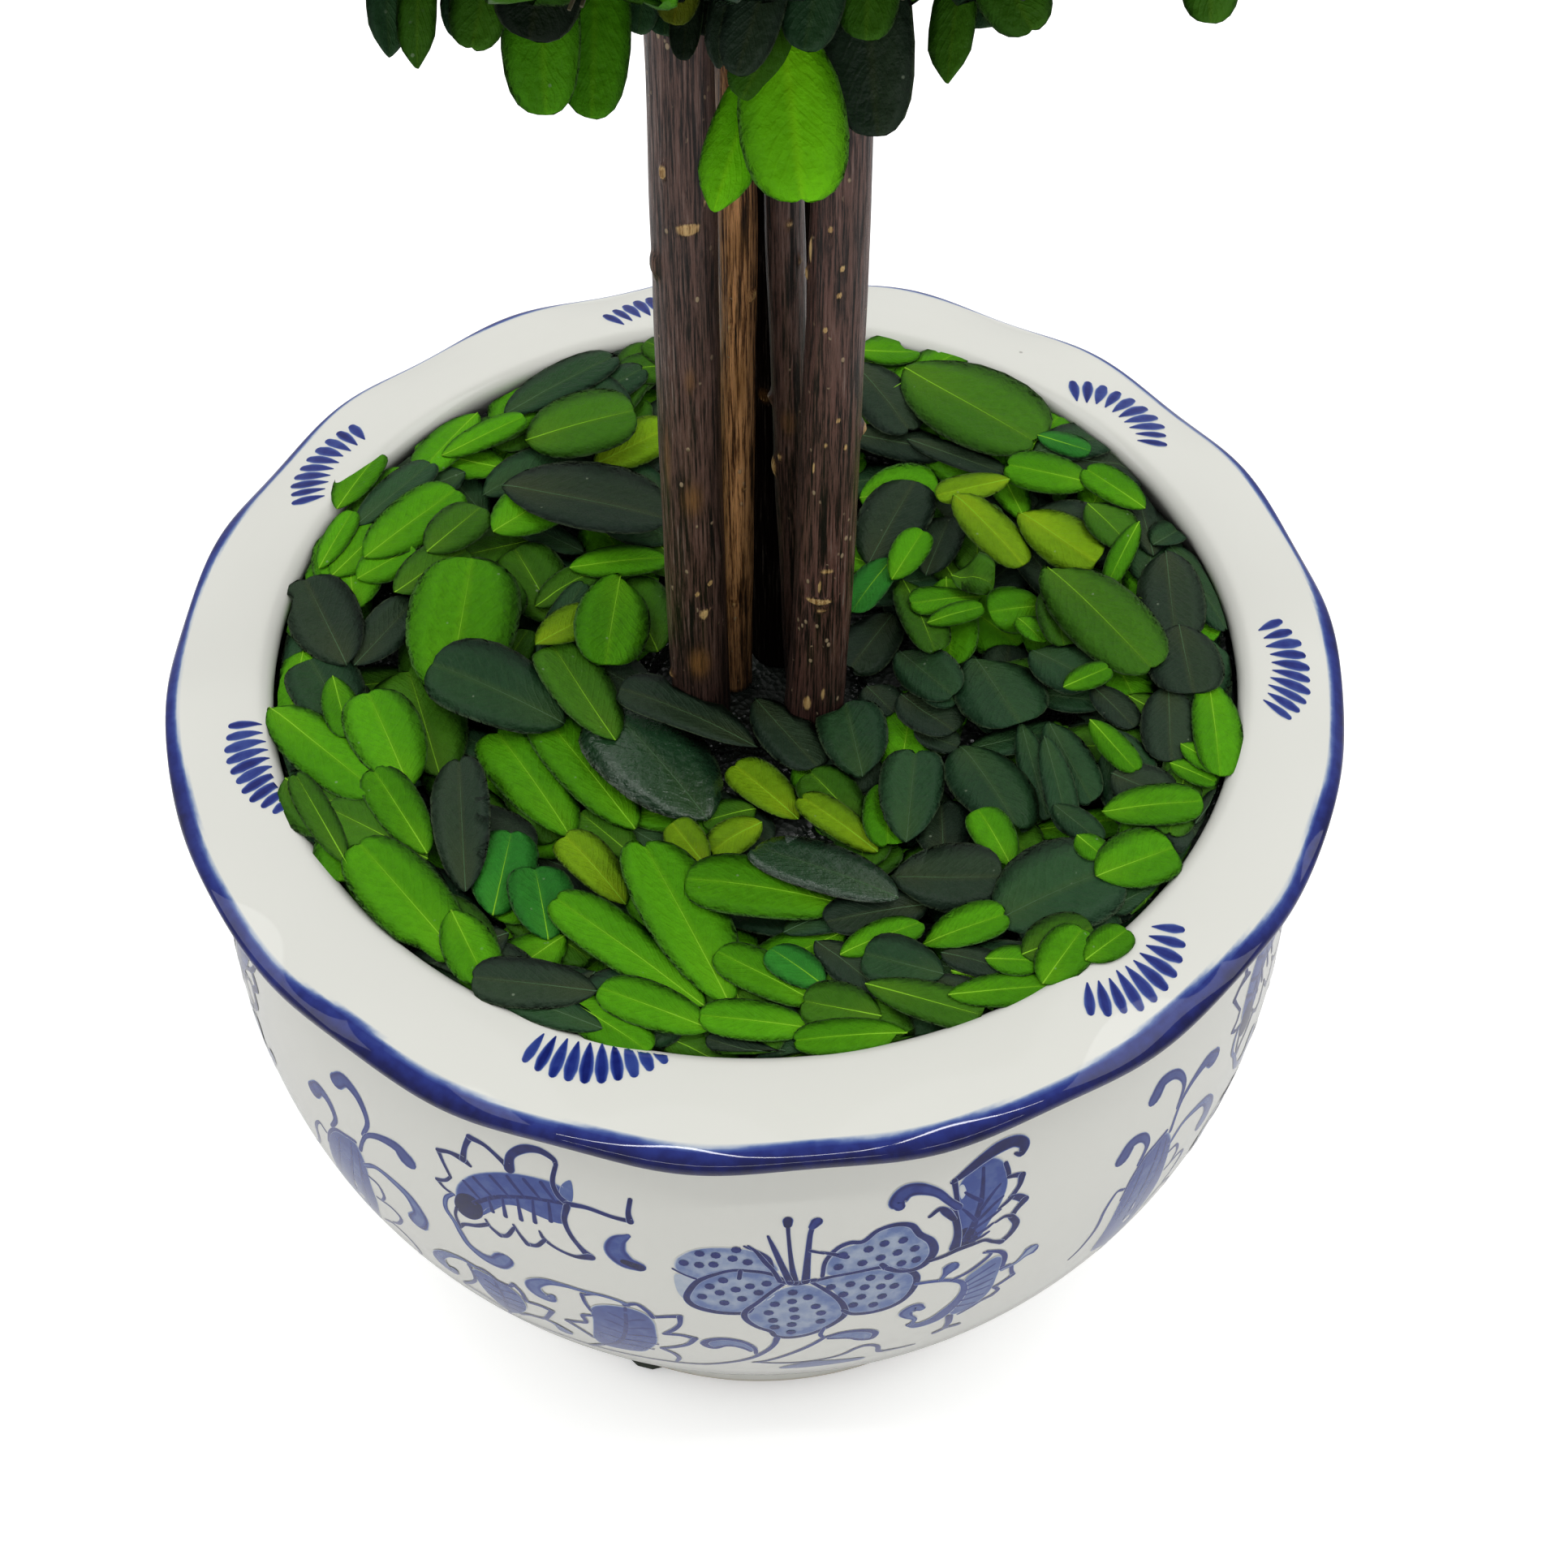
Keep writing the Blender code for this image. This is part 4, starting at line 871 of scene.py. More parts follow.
LOW_FLOWERS = (
    ("wash", .5, .52, 0,
     ((-27.9, 75.2), (-25.8, 77.8), (-22, 79), (-18.7, 78.2), (-16.9, 75.2), (-16.7, 70.2),
      (-16.9, 65.2), (-18.3, 61.1), (-20.4, 57.3), (-24.5, 55.7), (-27.9, 55.7), (-29.1, 59.4),
      (-28.5, 65.2), (-28, 70.2))),
    ("wash", .44, .48, 0,
     ((-50.6, 71.9), (-47.9, 72.9), (-43.7, 71.9), (-41.5, 69.4), (-41, 65.2), (-42, 61.1),
      (-44.1, 56.9), (-47, 53.4), (-49.1, 58.6), (-50.4, 65.2))),
    ("stroke", .75, .75, .5,
     ((-21.6, 78.6, .7), (-21.9, 71.9, .9), (-22.9, 65.2, .9), (-25, 59.4, .9), (-27.9, 55.7, .8))),
    ("stroke", .7, .7, .45,
     ((-46.2, 71.1, .6), (-45.7, 65.2, .8), (-46.4, 58.6, .7), (-47.2, 54, .6))),
    ("stroke", .72, .72, .47,
     ((-21.9, 73.2, .5), (-23.3, 74.4, .7), (-24.7, 75.1, .5)),
     ((-22, 69.8, .5), (-23.7, 71, .7), (-25.5, 71.8, .5)),
     ((-22.4, 66.5, .5), (-24.4, 67.5, .7), (-26.4, 68.1, .5)),
     ((-23.2, 63.2, .5), (-25.2, 63.8, .7), (-27.2, 64, .5)),
     ((-21.6, 73.2, .5), (-20.1, 74.4, .7), (-18.5, 75.1, .5)),
     ((-21.8, 69.8, .5), (-19.7, 71, .7), (-17.5, 71.8, .5)),
     ((-22.2, 66.5, .5), (-19.6, 67.5, .7), (-17, 67.9, .5)),
     ((-22.9, 63.4, .5), (-19.9, 64.1, .7), (-16.9, 64.2, .5)),
     ((-24.1, 60.4, .5), (-21.1, 60.8, .7), (-18, 60.6, .5)),
     ((-45.7, 67.8, .5), (-47.1, 68.9, .7), (-48.5, 69.6, .5)),
     ((-45.6, 64.4, .5), (-47.4, 65.5, .7), (-49.1, 66.1, .5)),
     ((-46, 61.1, .5), (-47.7, 62, .7), (-49.4, 62.3, .5)),
     ((-45.7, 67.8, .5), (-44.1, 68.8, .7), (-42.5, 69.2, .5)),
     ((-45.6, 64.4, .5), (-43.6, 65.3, .7), (-41.5, 65.7, .5)),
     ((-46, 61.1, .5), (-44, 61.8, .7), (-42, 61.9, .5)),
     ((-46.5, 57.9, .5), (-45, 58.4, .7), (-43.5, 58.4, .5))),
    ("stroke", .7, .7, 0,
     ((-17, 76.8, .9), (-14.5, 77.9, 1), (-12.4, 78.6, 1.2)),
     ((-12.4, 78.5, 1.2), (-12.5, 75.7, .9), (-13.5, 73.2, 1), (-15.2, 70.5, 1)),
     ((-15.4, 70.3, .9), (-12.5, 70.7, 1), (-10.2, 69.8, 1.3)),
     ((-10.2, 69.8, 1.3), (-11.6, 66.5, 1), (-14.1, 64, 1), (-16.4, 62.3, .9)),
     ((-16.4, 62.2, .9), (-14.4, 59.8, .9), (-13.7, 56.9, .9), (-14.4, 53.8, .7)),
     ((-28.7, 79.8, .7), (-26.2, 81.2, .8), (-22.9, 80.8, .9), (-21.2, 79.8, 1.2)),
     ((-21.6, 79.7, 1), (-19.5, 80.7, 1), (-17.7, 78.6, 1), (-17, 76.8, 1)),
     ((-29.1, 79.8, .8), (-28.7, 76.9, .8), (-27.9, 74, .7)),
     ((-28, 71.9, .8), (-29.7, 70.7, 1), (-29.4, 67.8, .9), (-31.2, 66.5, .9), (-33.3, 65.4, 1)),
     ((-33.3, 65.3, 1), (-31.2, 62.8, .8), (-29.1, 59.4, .8)),
     ((-27.9, 55.7, .9), (-30, 52.6, .9), (-31.2, 51.1, .8)),
     ((-45.8, 72.1, .8), (-43.3, 72.1, .9), (-42.2, 73.8, 1.1)),
     ((-42.2, 73.7, 1.1), (-41, 71.5, .9), (-40.5, 67.9, .9)),
     ((-40.4, 67.8, .9), (-37.9, 68.4, 1), (-35.7, 67.9, 1.2)),
     ((-35.7, 67.8, 1.2), (-36.9, 64.4, 1), (-38.3, 61.2, .9), (-41.6, 59.4, .8), (-44.1, 56.5, .8)),
     ((-51, 73.2, .7), (-47.9, 74, .9), (-45.8, 72.3, .9)),
     ((-51.2, 73, .8), (-50.8, 69.8, .8), (-51.2, 66.1, .8), (-53.3, 61.9, .8), (-55.4, 58.6, .8),
      (-52, 57.3, .7), (-48.3, 53.6, .7)),
     ((-47, 53.4, .8), (-47.7, 51.5, .8), (-48, 50, .7))),
    ("stroke", .65, .42, 0,
     ((-21.4, 80.2, .8), (-24.5, 81.2, .8), (-28.7, 81.1, .9), (-32, 81.1, 1.2), (-35.5, 80.2, 2.2),
      (-38, 77.3, 3.2), (-37.5, 74.6, 3.4), (-35.4, 73.8, 2.8), (-34.7, 75.2, 1.4))),
    ("stroke", .62, .42, 0,
     ((-50, 73.8, .8), (-52.9, 73.8, 1.2), (-56.2, 71.8, 2), (-58.5, 68.2, 2.8), (-58.6, 64.8, 3.4),
      (-56.9, 63.6, 3.2), (-55.9, 65.1, 1.6))),
    ("stroke", .65, .4, 0,
     ((-38.3, 61.2, .8), (-36.2, 60.1, 1.4), (-34.9, 57.3, 3.2))),
)
BLOSSOM_DOTS = (
    (-8.7, 99.2), (-6.1, 99), (-2.8, 100.7), (-11.3, 96.2), (-8.8, 96), (-6.5, 96.4), (-3.4, 98.3),
    (-1.0, 97.4), (-5.0, 91.9), (-7.2, 89.8), (-8.5, 86.4), (-5.6, 88), (-3, 89.2), (-.7, 90.3),
    (2, 91.1), (.7, 88.3), (-2, 86.3), (-4.9, 84.8), (6.2, 88), (3.3, 84.4), (6.1, 85.1),
    (8.7, 86.1), (2.3, 81.5), (6.4, 82.3), (10, 82.8), (3, 78.6), (6.6, 79.4), (10.9, 80.3),
    (3.3, 75.9), (6.1, 76.7), (10.9, 77.1), (6, 73.6), (12.4, 88.7), (15.6, 88.8), (18.9, 89.8),
    (14.5, 85.8), (18, 87.1), (20.7, 86.4), (23, 85.7), (17.5, 84.1), (21, 83), (16.2, 81.7),
    (19.6, 80.6), (22, 89), (18.5, 98.3), (21.1, 99.1), (24.2, 98.9), (20.5, 95.3), (23.3, 95.8),
    (26.2, 95.8), (17.5, 94.7), (13.6, 94.5), (24, 92.4), (26.5, 92.4), (14.3, 97.8))
BLOSSOM_DOT_SIZE = 1.75
FOOT_LINE_HEIGHT = 1.3
FOOT_LINE_WIDTH = 0.7
GROUPS_ROUND = 4

painting = Painting()
for figure in (SPRIG, POD, BLOSSOM, BLOSSOM_STEM, FEATHER, SCROLL, LOW_FLOWERS):
    painting.draw(figure)
for x, y in BLOSSOM_DOTS:
    painting.dot(x, y, BLOSSOM_DOT_SIZE, 0.80, 0.30)
quarter = UNROLL_RADIUS * math.tau / GROUPS_ROUND
foot_line = [(x, FOOT_LINE_HEIGHT + 0.15 * math.sin(0.4 * x), FOOT_LINE_WIDTH)
             for x in np.linspace(-0.5, 0.5, 33) * quarter]
painting.stroke(0.42, 0.42, 0.0, foot_line, 2)
flat_rows = np.array(painting.rows)
all_corners = []
all_faces = []
all_paint = []
for group in range(GROUPS_ROUND):
    start = group * len(flat_rows)
    all_corners.append(on_wall(flat_rows[:, :3], group * math.tau / GROUPS_ROUND))
    all_faces += [tuple(start + index for index in face) for face in painting.faces]
    all_paint.append(flat_rows[:, 3])
ornament_mesh = mesh_from_arrays("painted_ornament", np.vstack(all_corners), all_faces)
store(ornament_mesh, "paint", np.concatenate(all_paint))
add_mesh("painted_ornament", ornament_mesh, glaze, ["pot"])
print("strokes and washes in a group:", painting.count)

# %% [markdown]
# Seven small fans decorate the flange at uneven distances, each made of ten drops of paint
# whose round ends lie on an arc that bulges outwards. They are drawn with the same brush, on
# the flange instead of the wall.

# %% Fans on the flange
# Each fan: angle from the front, distance from the axis in mm, tilt and half its opening angle.
FANS = ((-168, 91.0, 5, 30), (-120.2, 91.5, 8, 34), (-72.5, 86.8, 9, 26), (-15.9, 87.4, 14, 30),
        (42.1, 91.4, 3, 42), (87.7, 91.0, 0, 36), (131.6, 91.0, 3, 50))
FAN_HALF_WIDTH = 9.6
FAN_STROKES = 10
DROP_LENGTH = 6.0
DROP_WIDTH = 2.45
POINTS_BELOW_LIP = 8

flange_start = int(np.argmax(flange_curve[:, 0]))
flange_top = flange_curve[flange_start:-POINTS_BELOW_LIP][::-1]
fan_painting = Painting()
draw = random.Random(3)
for centre_angle, centre_radius, tilt, splay in FANS:
    heading = math.radians(centre_angle + tilt)
    away = math.radians(centre_angle)
    middle = np.array((math.sin(away), -math.cos(away))) * centre_radius
    arc_radius = FAN_HALF_WIDTH / math.sin(math.radians(splay))
    pivot = middle - np.array((math.sin(heading), -math.cos(heading))) * arc_radius
    for index in range(FAN_STROKES):
        share = 2.0 * index / (FAN_STROKES - 1) - 1.0
        turn = heading + math.radians(splay) * share
        out = np.array((math.sin(turn), -math.cos(turn)))
        length = DROP_LENGTH * (1.0 - 0.22 * share * share) * draw.uniform(0.9, 1.08)
        width = DROP_WIDTH * (1.0 - 0.18 * share * share) * draw.uniform(0.9, 1.1)
        outer = pivot + out * (arc_radius + 0.38 * length)
        points = [(*(outer - out * length), 0.35), (*(outer - out * 0.62 * length), 0.75 * width),
                  (*(outer - out * 0.25 * length), width), (*outer, 0.75 * width)]
        fan_painting.stroke(0.54, draw.uniform(0.62, 0.80), 0.0, points, 4)
fan_rows = np.array(fan_painting.rows)
fan_angle = np.arctan2(fan_rows[:, 0], -fan_rows[:, 1])
fan_radius = 0.001 * np.hypot(fan_rows[:, 0], fan_rows[:, 1])
fan_height = np.interp(fan_radius, flange_top[:, 0], flange_top[:, 1])
fan_height += rim_wave(fan_angle, fan_radius) + 0.001 * fan_rows[:, 2]
fan_corners = np.stack([0.001 * fan_rows[:, 0], 0.001 * fan_rows[:, 1], fan_height], axis=1)
fan_mesh = mesh_from_arrays("painted_fans", fan_corners, fan_painting.faces)
store(fan_mesh, "paint", fan_rows[:, 3])
add_mesh("painted_fans", fan_mesh, glaze, ["pot"])

# %% [markdown]
# Four soft pads keep the porcelain off the table. They are small domed drops of dark rubber,
# already the right shape in the model, so they keep their solids and only get a finish with
# a fine matt grain.

# %% Rubber pads
rubber = Finish("dark_rubber", {"Base Color": (0.012, 0.020, 0.011), "Roughness": 0.55})
rubber_grain = rubber.grain(900, 3.0)
rubber.set("Base Color", rubber.blend(rubber_grain, (0.008, 0.012, 0.007), (0.022, 0.034, 0.018)))
rubber.set("Roughness", rubber.between(rubber_grain, 0.3, 0.7, 0.45, 0.7))
rubber.relief(rubber_grain, 0.0001, 0.4)
pad_names = [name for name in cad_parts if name.startswith("foot_pad")]
for name in pad_names:
    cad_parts[name].material_slots[0].material = rubber.material
print("pads:", len(pad_names))

# %% [markdown]
# Dark dry foam holds the sticks, and between the leaves it glints where varnish has dripped
# on it. The block keeps its solid. The top, which shows in the gaps, gets a lumpy skin of
# its own: a ring spun round the sticks whose upper side is then pushed up and down. The
# leaves are heaped up towards the wall of the bowl, so the skin rises there too.

# %% Foam
foam = Finish("dark_foam", {"Base Color": (0.010, 0.014, 0.011), "Roughness": 0.5})
lumps = foam.grain(160, 4.0)
foam.set("Base Color", foam.blend(lumps, (0.004, 0.006, 0.005), (0.020, 0.026, 0.021)))
foam.set("Roughness", foam.between(lumps, 0.35, 0.65, 0.16, 0.6))
foam.relief(foam.cells(900) * 0.4 + lumps, 0.0016, 0.9)
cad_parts["foam_block"].material_slots[0].material = foam.material

TRUNK_CENTRE = Vector((0.0008, 0.0025, 0.0))
TRUNK_HOLE_RADIUS = 0.0195
BED_RADIUS = 0.0842
BED_BASE_Z = FOAM_TOP_Z + GAP
BED_TOP_Z = BED_BASE_Z + 0.003
BED_RISE = 0.0065
BED_RISE_START = 0.050
BED_RISE_END = 0.076
SKIN_RADIUS = 0.0812
SKIN_SEGMENTS = 180
SKIN_LUMPS = 0.0012


def bed_rise(radius):
    """How much higher the bed lies at a radius than in its middle."""
    return BED_RISE * ease(BED_RISE_START, BED_RISE_END, radius)


ring_profile = [(TRUNK_HOLE_RADIUS, BED_BASE_Z), (BED_RADIUS, BED_BASE_Z)]
ring_profile += [(radius, BED_TOP_Z + bed_rise(radius))
                 for radius in np.linspace(SKIN_RADIUS, TRUNK_HOLE_RADIUS, 40)]
shape = turned(ring_profile, SKIN_SEGMENTS, closed=True)
for corner in shape.verts:
    if corner.co.z > BED_TOP_Z - 0.0001:
        corner.co.z += SKIN_LUMPS * noise.fractal(corner.co * 120.0, 1.0, 2.0, 3)
add_mesh("foam_skin", mesh_from_bmesh("foam_skin", shape), foam, ["leaf_bed"], 60)

# %% [markdown]
# The trunk of such a topiary is a bundle of cut boxwood shoots. Their bark is a web of fine
# upright fibres with pale pores, small scars where leaves sat and stubs of cut twigs. Each
# stick is a straight tube made by a spin, with many short steps. Its corners are then moved:
# outward by fibres and scars, and sideways to the stick's own lean and bow. What the finish
# must know about scars, stains, each stick's own tint and how far a side faces into the
# bundle, where shade is painted, is kept with the corners.

# %% Sticks
STICK_TOP_Z = 0.3287
STICK_SIDES = 88
STICK_STEP = 0.0010
BUNDLE_HEART = (0.0015, 0.0060)
FOOT_SHADE_TOP_Z = 0.175
# Each stick: foot (x, y), top (x, y), foot radius, top radius, bow (x, y), how purple it is.
STICKS = {
    "stick_front_left": ((-0.0095, 0.0005), (-0.0086, -0.0005), 0.0050, 0.0048, (-0.0008, 0.0), 0.25),
    "stick_front_right": ((0.0099, -0.0015), (0.0127, -0.0010), 0.0051, 0.0039, (0.0014, 0.0), 0.85),
    "stick_back_left": ((-0.0038, 0.0065), (-0.0021, 0.0045), 0.0029, 0.0029, (0.0007, 0.0002), 0.5),
    "stick_back_right": ((0.0079, 0.0070), (0.0043, 0.0050), 0.0029, 0.0029, (-0.0010, 0.0), 0.3),
    "stick_rear": ((0.0038, 0.0142), (0.0046, 0.0137), 0.0048, 0.0046, (0.0, 0.0003), 0.1),
}
# Each mark: pixel across and down in the 1932 pixel picture, width and height in mm, lift in mm,
# and from 0 to 1 how much of a scar and of a stain it is.
MARKS = {
    "stick_front_left": (
        (848, 284, 4.0, 1.7, 0.25, 1.0, 0.3), (816, 212, 1.2, 2.6, 0.7, 0.9, 0.0),
        (807, 325, 2.4, 5.0, 0.8, 0.25, 0.2), (869, 748, 4.2, 0.7, 0.5, 1.0, 0.0),
        (867, 757, 1.6, 1.8, 0.4, 0.8, 0.3), (853, 618, 3.4, 7.0, 0.0, 0.0, 0.8),
        (850, 468, 1.6, 5.0, 0.1, 0.15, 0.6), (862, 818, 3.6, 7.0, 0.15, 0.1, 1.0),
        (829, 829, 1.8, 2.0, 0.6, 0.5, 0.5), (846, 243, 0.9, 0.9, 0.3, 0.8, 0.0),
        (867, 250, 1.0, 1.2, 0.4, 0.8, 0.0), (874, 718, 0.9, 0.9, 0.3, 1.0, 0.0),
        (859, 731, 0.8, 1.0, 0.2, 0.9, 0.0), (822, 560, 1.4, 14.0, 0.0, 0.0, 0.5)),
    "stick_front_right": (
        (1009, 741, 4.2, 0.9, 0.5, 1.0, 0.2), (1012, 752, 2.2, 1.4, 0.3, 0.5, 0.4),
        (1067, 527, 1.9, 2.6, 0.9, 0.7, 0.2), (1019, 704, 2.6, 1.6, 0.15, 0.6, 0.0),
        (1010, 722, 0.6, 3.0, 0.15, 0.9, 0.0), (1000, 306, 0.7, 5.5, 0.5, 0.8, 0.0),
        (997, 335, 1.4, 3.0, 0.5, 0.6, 0.3), (1024, 282, 0.8, 1.0, 0.2, 0.9, 0.0),
        (1038, 331, 0.8, 0.9, 0.2, 0.9, 0.0), (1034, 364, 0.8, 1.2, 0.2, 0.9, 0.0),
        (1017, 406, 0.8, 1.0, 0.2, 0.9, 0.0), (1033, 516, 0.8, 1.2, 0.2, 0.8, 0.0),
        (1041, 549, 0.8, 1.4, 0.2, 0.8, 0.0), (1018, 549, 0.7, 1.2, 0.2, 0.8, 0.0),
        (1003, 576, 0.5, 2.6, 0.1, 0.8, 0.0), (1010, 790, 3.4, 0.5, 0.15, 0.7, 0.0),
        (995, 865, 1.6, 4.0, 0.1, 0.7, 0.0), (1014, 855, 0.8, 4.0, 0.1, 0.6, 0.0)),
    "stick_back_left": (
        (926, 363, 1.7, 1.8, 0.6, 0.5, 0.6), (904, 745, 1.2, 1.4, 0.3, 0.5, 0.6),
        (910, 300, 2.2, 9.0, 0.0, 0.0, 0.6), (912, 470, 2.2, 12.0, 0.0, 0.0, 0.7),
        (918, 600, 1.6, 1.0, 0.1, 0.5, 0.2), (898, 405, 0.8, 1.4, 0.2, 0.6, 0.4)),
    "stick_back_right": (
        (955, 573, 1.6, 4.2, 0.6, 0.8, 0.5), (962, 562, 1.0, 1.6, 0.5, 0.7, 0.3),
        (972, 275, 1.2, 1.6, 0.4, 0.5, 0.5), (986, 320, 1.0, 1.6, 0.3, 0.6, 0.3),
        (972, 520, 2.6, 5.0, 0.1, 0.25, 0.5), (950, 489, 1.8, 2.2, 0.7, 0.4, 0.3)),
    "stick_rear": ((944, 487, 2.2, 2.4, 0.9, 0.3, 0.4),),
}


def stick_centre(stick, height):
    """The middle of a stick at a height, and its radius there."""
    foot, top, foot_radius, top_radius, bow, _ = stick
    share = (height - BED_BASE_Z) / (STICK_TOP_Z - BED_BASE_Z)
    bend = 4.0 * share * (1.0 - share)
    x, y = (foot[k] + (top[k] - foot[k]) * share + bow[k] * bend for k in (0, 1))
    return x, y, foot_radius + (top_radius - foot_radius) * share


def mark_place(stick, across, down):
    """The angle round a stick and the height at which a sight line meets it."""
    ray = sight_line(across, down)
    best = None
    for height in np.arange(BED_BASE_Z, STICK_TOP_Z, 0.0004).tolist():
        x, y, radius = stick_centre(stick, height)
        spot = CAMERA_PLACE + ray * ((height - CAMERA_PLACE.z) / ray.z)
        miss = abs(math.hypot(spot.x - x, spot.y - y) - radius) + (0.01 if spot.y > y else 0.0)
        if best is None or miss < best[0]:
            best = (miss, math.atan2(spot.y - y, spot.x - x), height)
    return best[1:]


def bark_tube(name):
    """A stick with relief, and its scar, stain and tint values and how far each side faces into the
    bundle, where shade is painted.
    """
    stick = STICKS[name]
    steps = int((STICK_TOP_Z - BED_BASE_Z) / STICK_STEP) + 1
    tube = [(1.0, height) for height in np.linspace(BED_BASE_Z, STICK_TOP_Z, steps)]
    shape = turned([(0.0, BED_BASE_Z), *tube, (0.0, STICK_TOP_Z)], STICK_SIDES)
    places = [(*mark_place(stick, *mark[:2]), *mark[2:]) for mark in MARKS[name]]
    tint = stick[5]
    scars, stains, inward_shades = [], [], []
    for corner in shape.verts:
        height = corner.co.z
        turn = math.atan2(corner.co.y, corner.co.x)
        x, y, radius = stick_centre(stick, height)
        rim = math.hypot(corner.co.x, corner.co.y)
        around = Vector((math.cos(turn), math.sin(turn), 0.0)) * radius
        fibre = noise.noise(Vector((around.x * 1900, around.y * 1900, height * 70 + 40 * tint)))
        strand = noise.noise(Vector((around.x * 700 + 9, around.y * 700, height * 28 + 70 * tint)))
        swell = noise.noise(Vector((around.x * 120, around.y * 120 + 5, height * 45 + 90 * tint)))
        relief = 0.00007 * fibre + 0.00011 * strand + 0.00022 * swell
        scar = stain = 0.0
        for at_turn, at_height, wide, tall, lift, scarred, stained in places:
            apart = (turn - at_turn + math.pi) % math.tau - math.pi
            across = apart * radius / (0.0005 * wide)
            along = (height - at_height) / (0.0005 * tall)
            weight = math.exp(-(across ** 2 + along ** 2) ** 1.5)
            relief += 0.001 * lift * weight
            scar = max(scar, scarred * weight)
            stain = max(stain, stained * weight)
        reach = rim * (radius + relief)
        corner.co = Vector((x + reach * math.cos(turn), y + reach * math.sin(turn), height))
        scars.append(scar)
        stains.append(stain)
        # How far a side faces the heart of the bundle: the finish paints shade there.
        out = Vector((x - BUNDLE_HEART[0], y - BUNDLE_HEART[1])).normalized()
        inward_shades.append(float(ease(-0.1, 0.7, -(out.x * math.cos(turn) + out.y * math.sin(turn)))))
    mesh = mesh_from_bmesh(name + "_bark", shape)
    store(mesh, "inner", inward_shades)
    store(mesh, "scar", scars)
    store(mesh, "stain", stains)
    store(mesh, "tint", [tint] * len(scars))
    return mesh


GROOVE_BLACK = (0.004, 0.002, 0.002)
SHADE_BLACK = (0.002, 0.001, 0.001)
FOOT_SHADE_BLACK = (0.004, 0.003, 0.002)
PAINTED_HIGHLIGHT_GREY = (0.36, 0.30, 0.26)
STAIN_BROWN = (0.27, 0.125, 0.036)
PORE_TAN = (0.50, 0.37, 0.23)
SCAR_DARK = (0.30, 0.140, 0.035)
SCAR_PALE = (0.82, 0.55, 0.24)


def bark_finish(name, dark, light, red, coat, gloss):
    """Varnished bark: upright fibres, pale pores, scars and stains, with painted shade at the foot and on
    the sides inside the bundle, and a painted highlight on the bundle's outer edges.
    """
    bark = Finish(name, {"Roughness": 0.42, "Specular IOR Level": gloss, "Coat Roughness": 0.22})
    fibres = bark.grain(2700, 5.0, (1, 1, 0.030), 0.75)
    strands = bark.grain(900, 4.0, (1, 1, 0.045), 0.6)
    patches = bark.grain(90, 3.0, (1, 1, 0.4))
    tone = bark.between(fibres * 0.8 + strands * 0.2, 0.43, 0.58)
    colour = bark.blend(tone, dark, light)
    purple = bark.attribute("tint") * bark.between(patches, 0.3, 0.6, 0.3, 0.8) * tone
    colour = bark.blend(purple, colour, red)
    # A pale grey streak on the fibres at the bundle's outer edges, left and right: a painted highlight.
    sideways = bark.node("ShaderNodeSeparateXYZ", sockets={"Vector": bark.place()}, output=0)
    highlight_edges = bark.between(bark.maths("ABSOLUTE", sideways - 0.0005), 0.0105, 0.0140, 0.35, 1.0)
    edge_highlight = bark.between(fibres, 0.55, 0.66) * bark.between(patches, 0.36, 0.56) * highlight_edges
    colour = bark.blend(edge_highlight * 0.75, colour, PAINTED_HIGHLIGHT_GREY)
    groove = bark.between(strands, 0.44, 0.34) + bark.between(fibres, 0.44, 0.35)
    colour = bark.blend(groove * 0.75, colour, GROOVE_BLACK)
    # Sides that face into the bundle are painted darker and lose their clear coat: painted shade between
    # the sticks.
    inner = bark.attribute("inner")
    colour = bark.blend(inner * 0.48, colour, SHADE_BLACK)
    bark.set("Coat Weight", (1 - inner) * coat)
    height = bark.node("ShaderNodeSeparateXYZ", sockets={"Vector": bark.place()}, output=2)
    # Darker towards the foot of each stick: painted shade.
    colour = bark.blend(bark.between(height, FOOT_SHADE_TOP_Z, BED_BASE_Z) * 0.6, colour, FOOT_SHADE_BLACK)
    stained = bark.attribute("stain") * bark.between(fibres, 0.36, 0.58, 0.25, 0.95)
    colour = bark.blend(stained, colour, STAIN_BROWN)
    near_foot = bark.between(height, 0.200, 0.150) * 0.07
    pore = bark.between(bark.cells(520, (1, 1, 0.55)), 0.20, 0.12)
    pore = pore * bark.between(bark.grain(300, 1.0) + near_foot, 0.56, 0.62)
    colour = bark.blend(pore * (1 - inner) * 0.85, colour, PORE_TAN)
    scar = bark.between(bark.attribute("scar") + (fibres - 0.5) * 0.5, 0.25, 0.55)
    tan = bark.blend(bark.between(fibres, 0.35, 0.60), SCAR_DARK, SCAR_PALE)
    bark.set("Base Color", bark.blend(scar, colour, tan))
    bark.set("Roughness", bark.between(fibres, 0.3, 0.7, 0.50, 0.30))
    bark.relief(fibres + strands + pore * 0.5, 0.00050, 1.0)
    return bark


# Each bark: dark, light and red tone, weight of the clear coat, specular level.
BARKS = {
    "bark": ((0.012, 0.006, 0.005), (0.165, 0.090, 0.070), (0.190, 0.074, 0.060), 0.22, 0.2),
    "tan_bark": ((0.120, 0.046, 0.016), (0.900, 0.470, 0.200), (0.80, 0.340, 0.115), 0.05, 0.2),
    "shaded_bark": ((0.002, 0.001, 0.001), (0.010, 0.007, 0.005), (0.01, 0.006, 0.005), 0.0, 0.0),
}
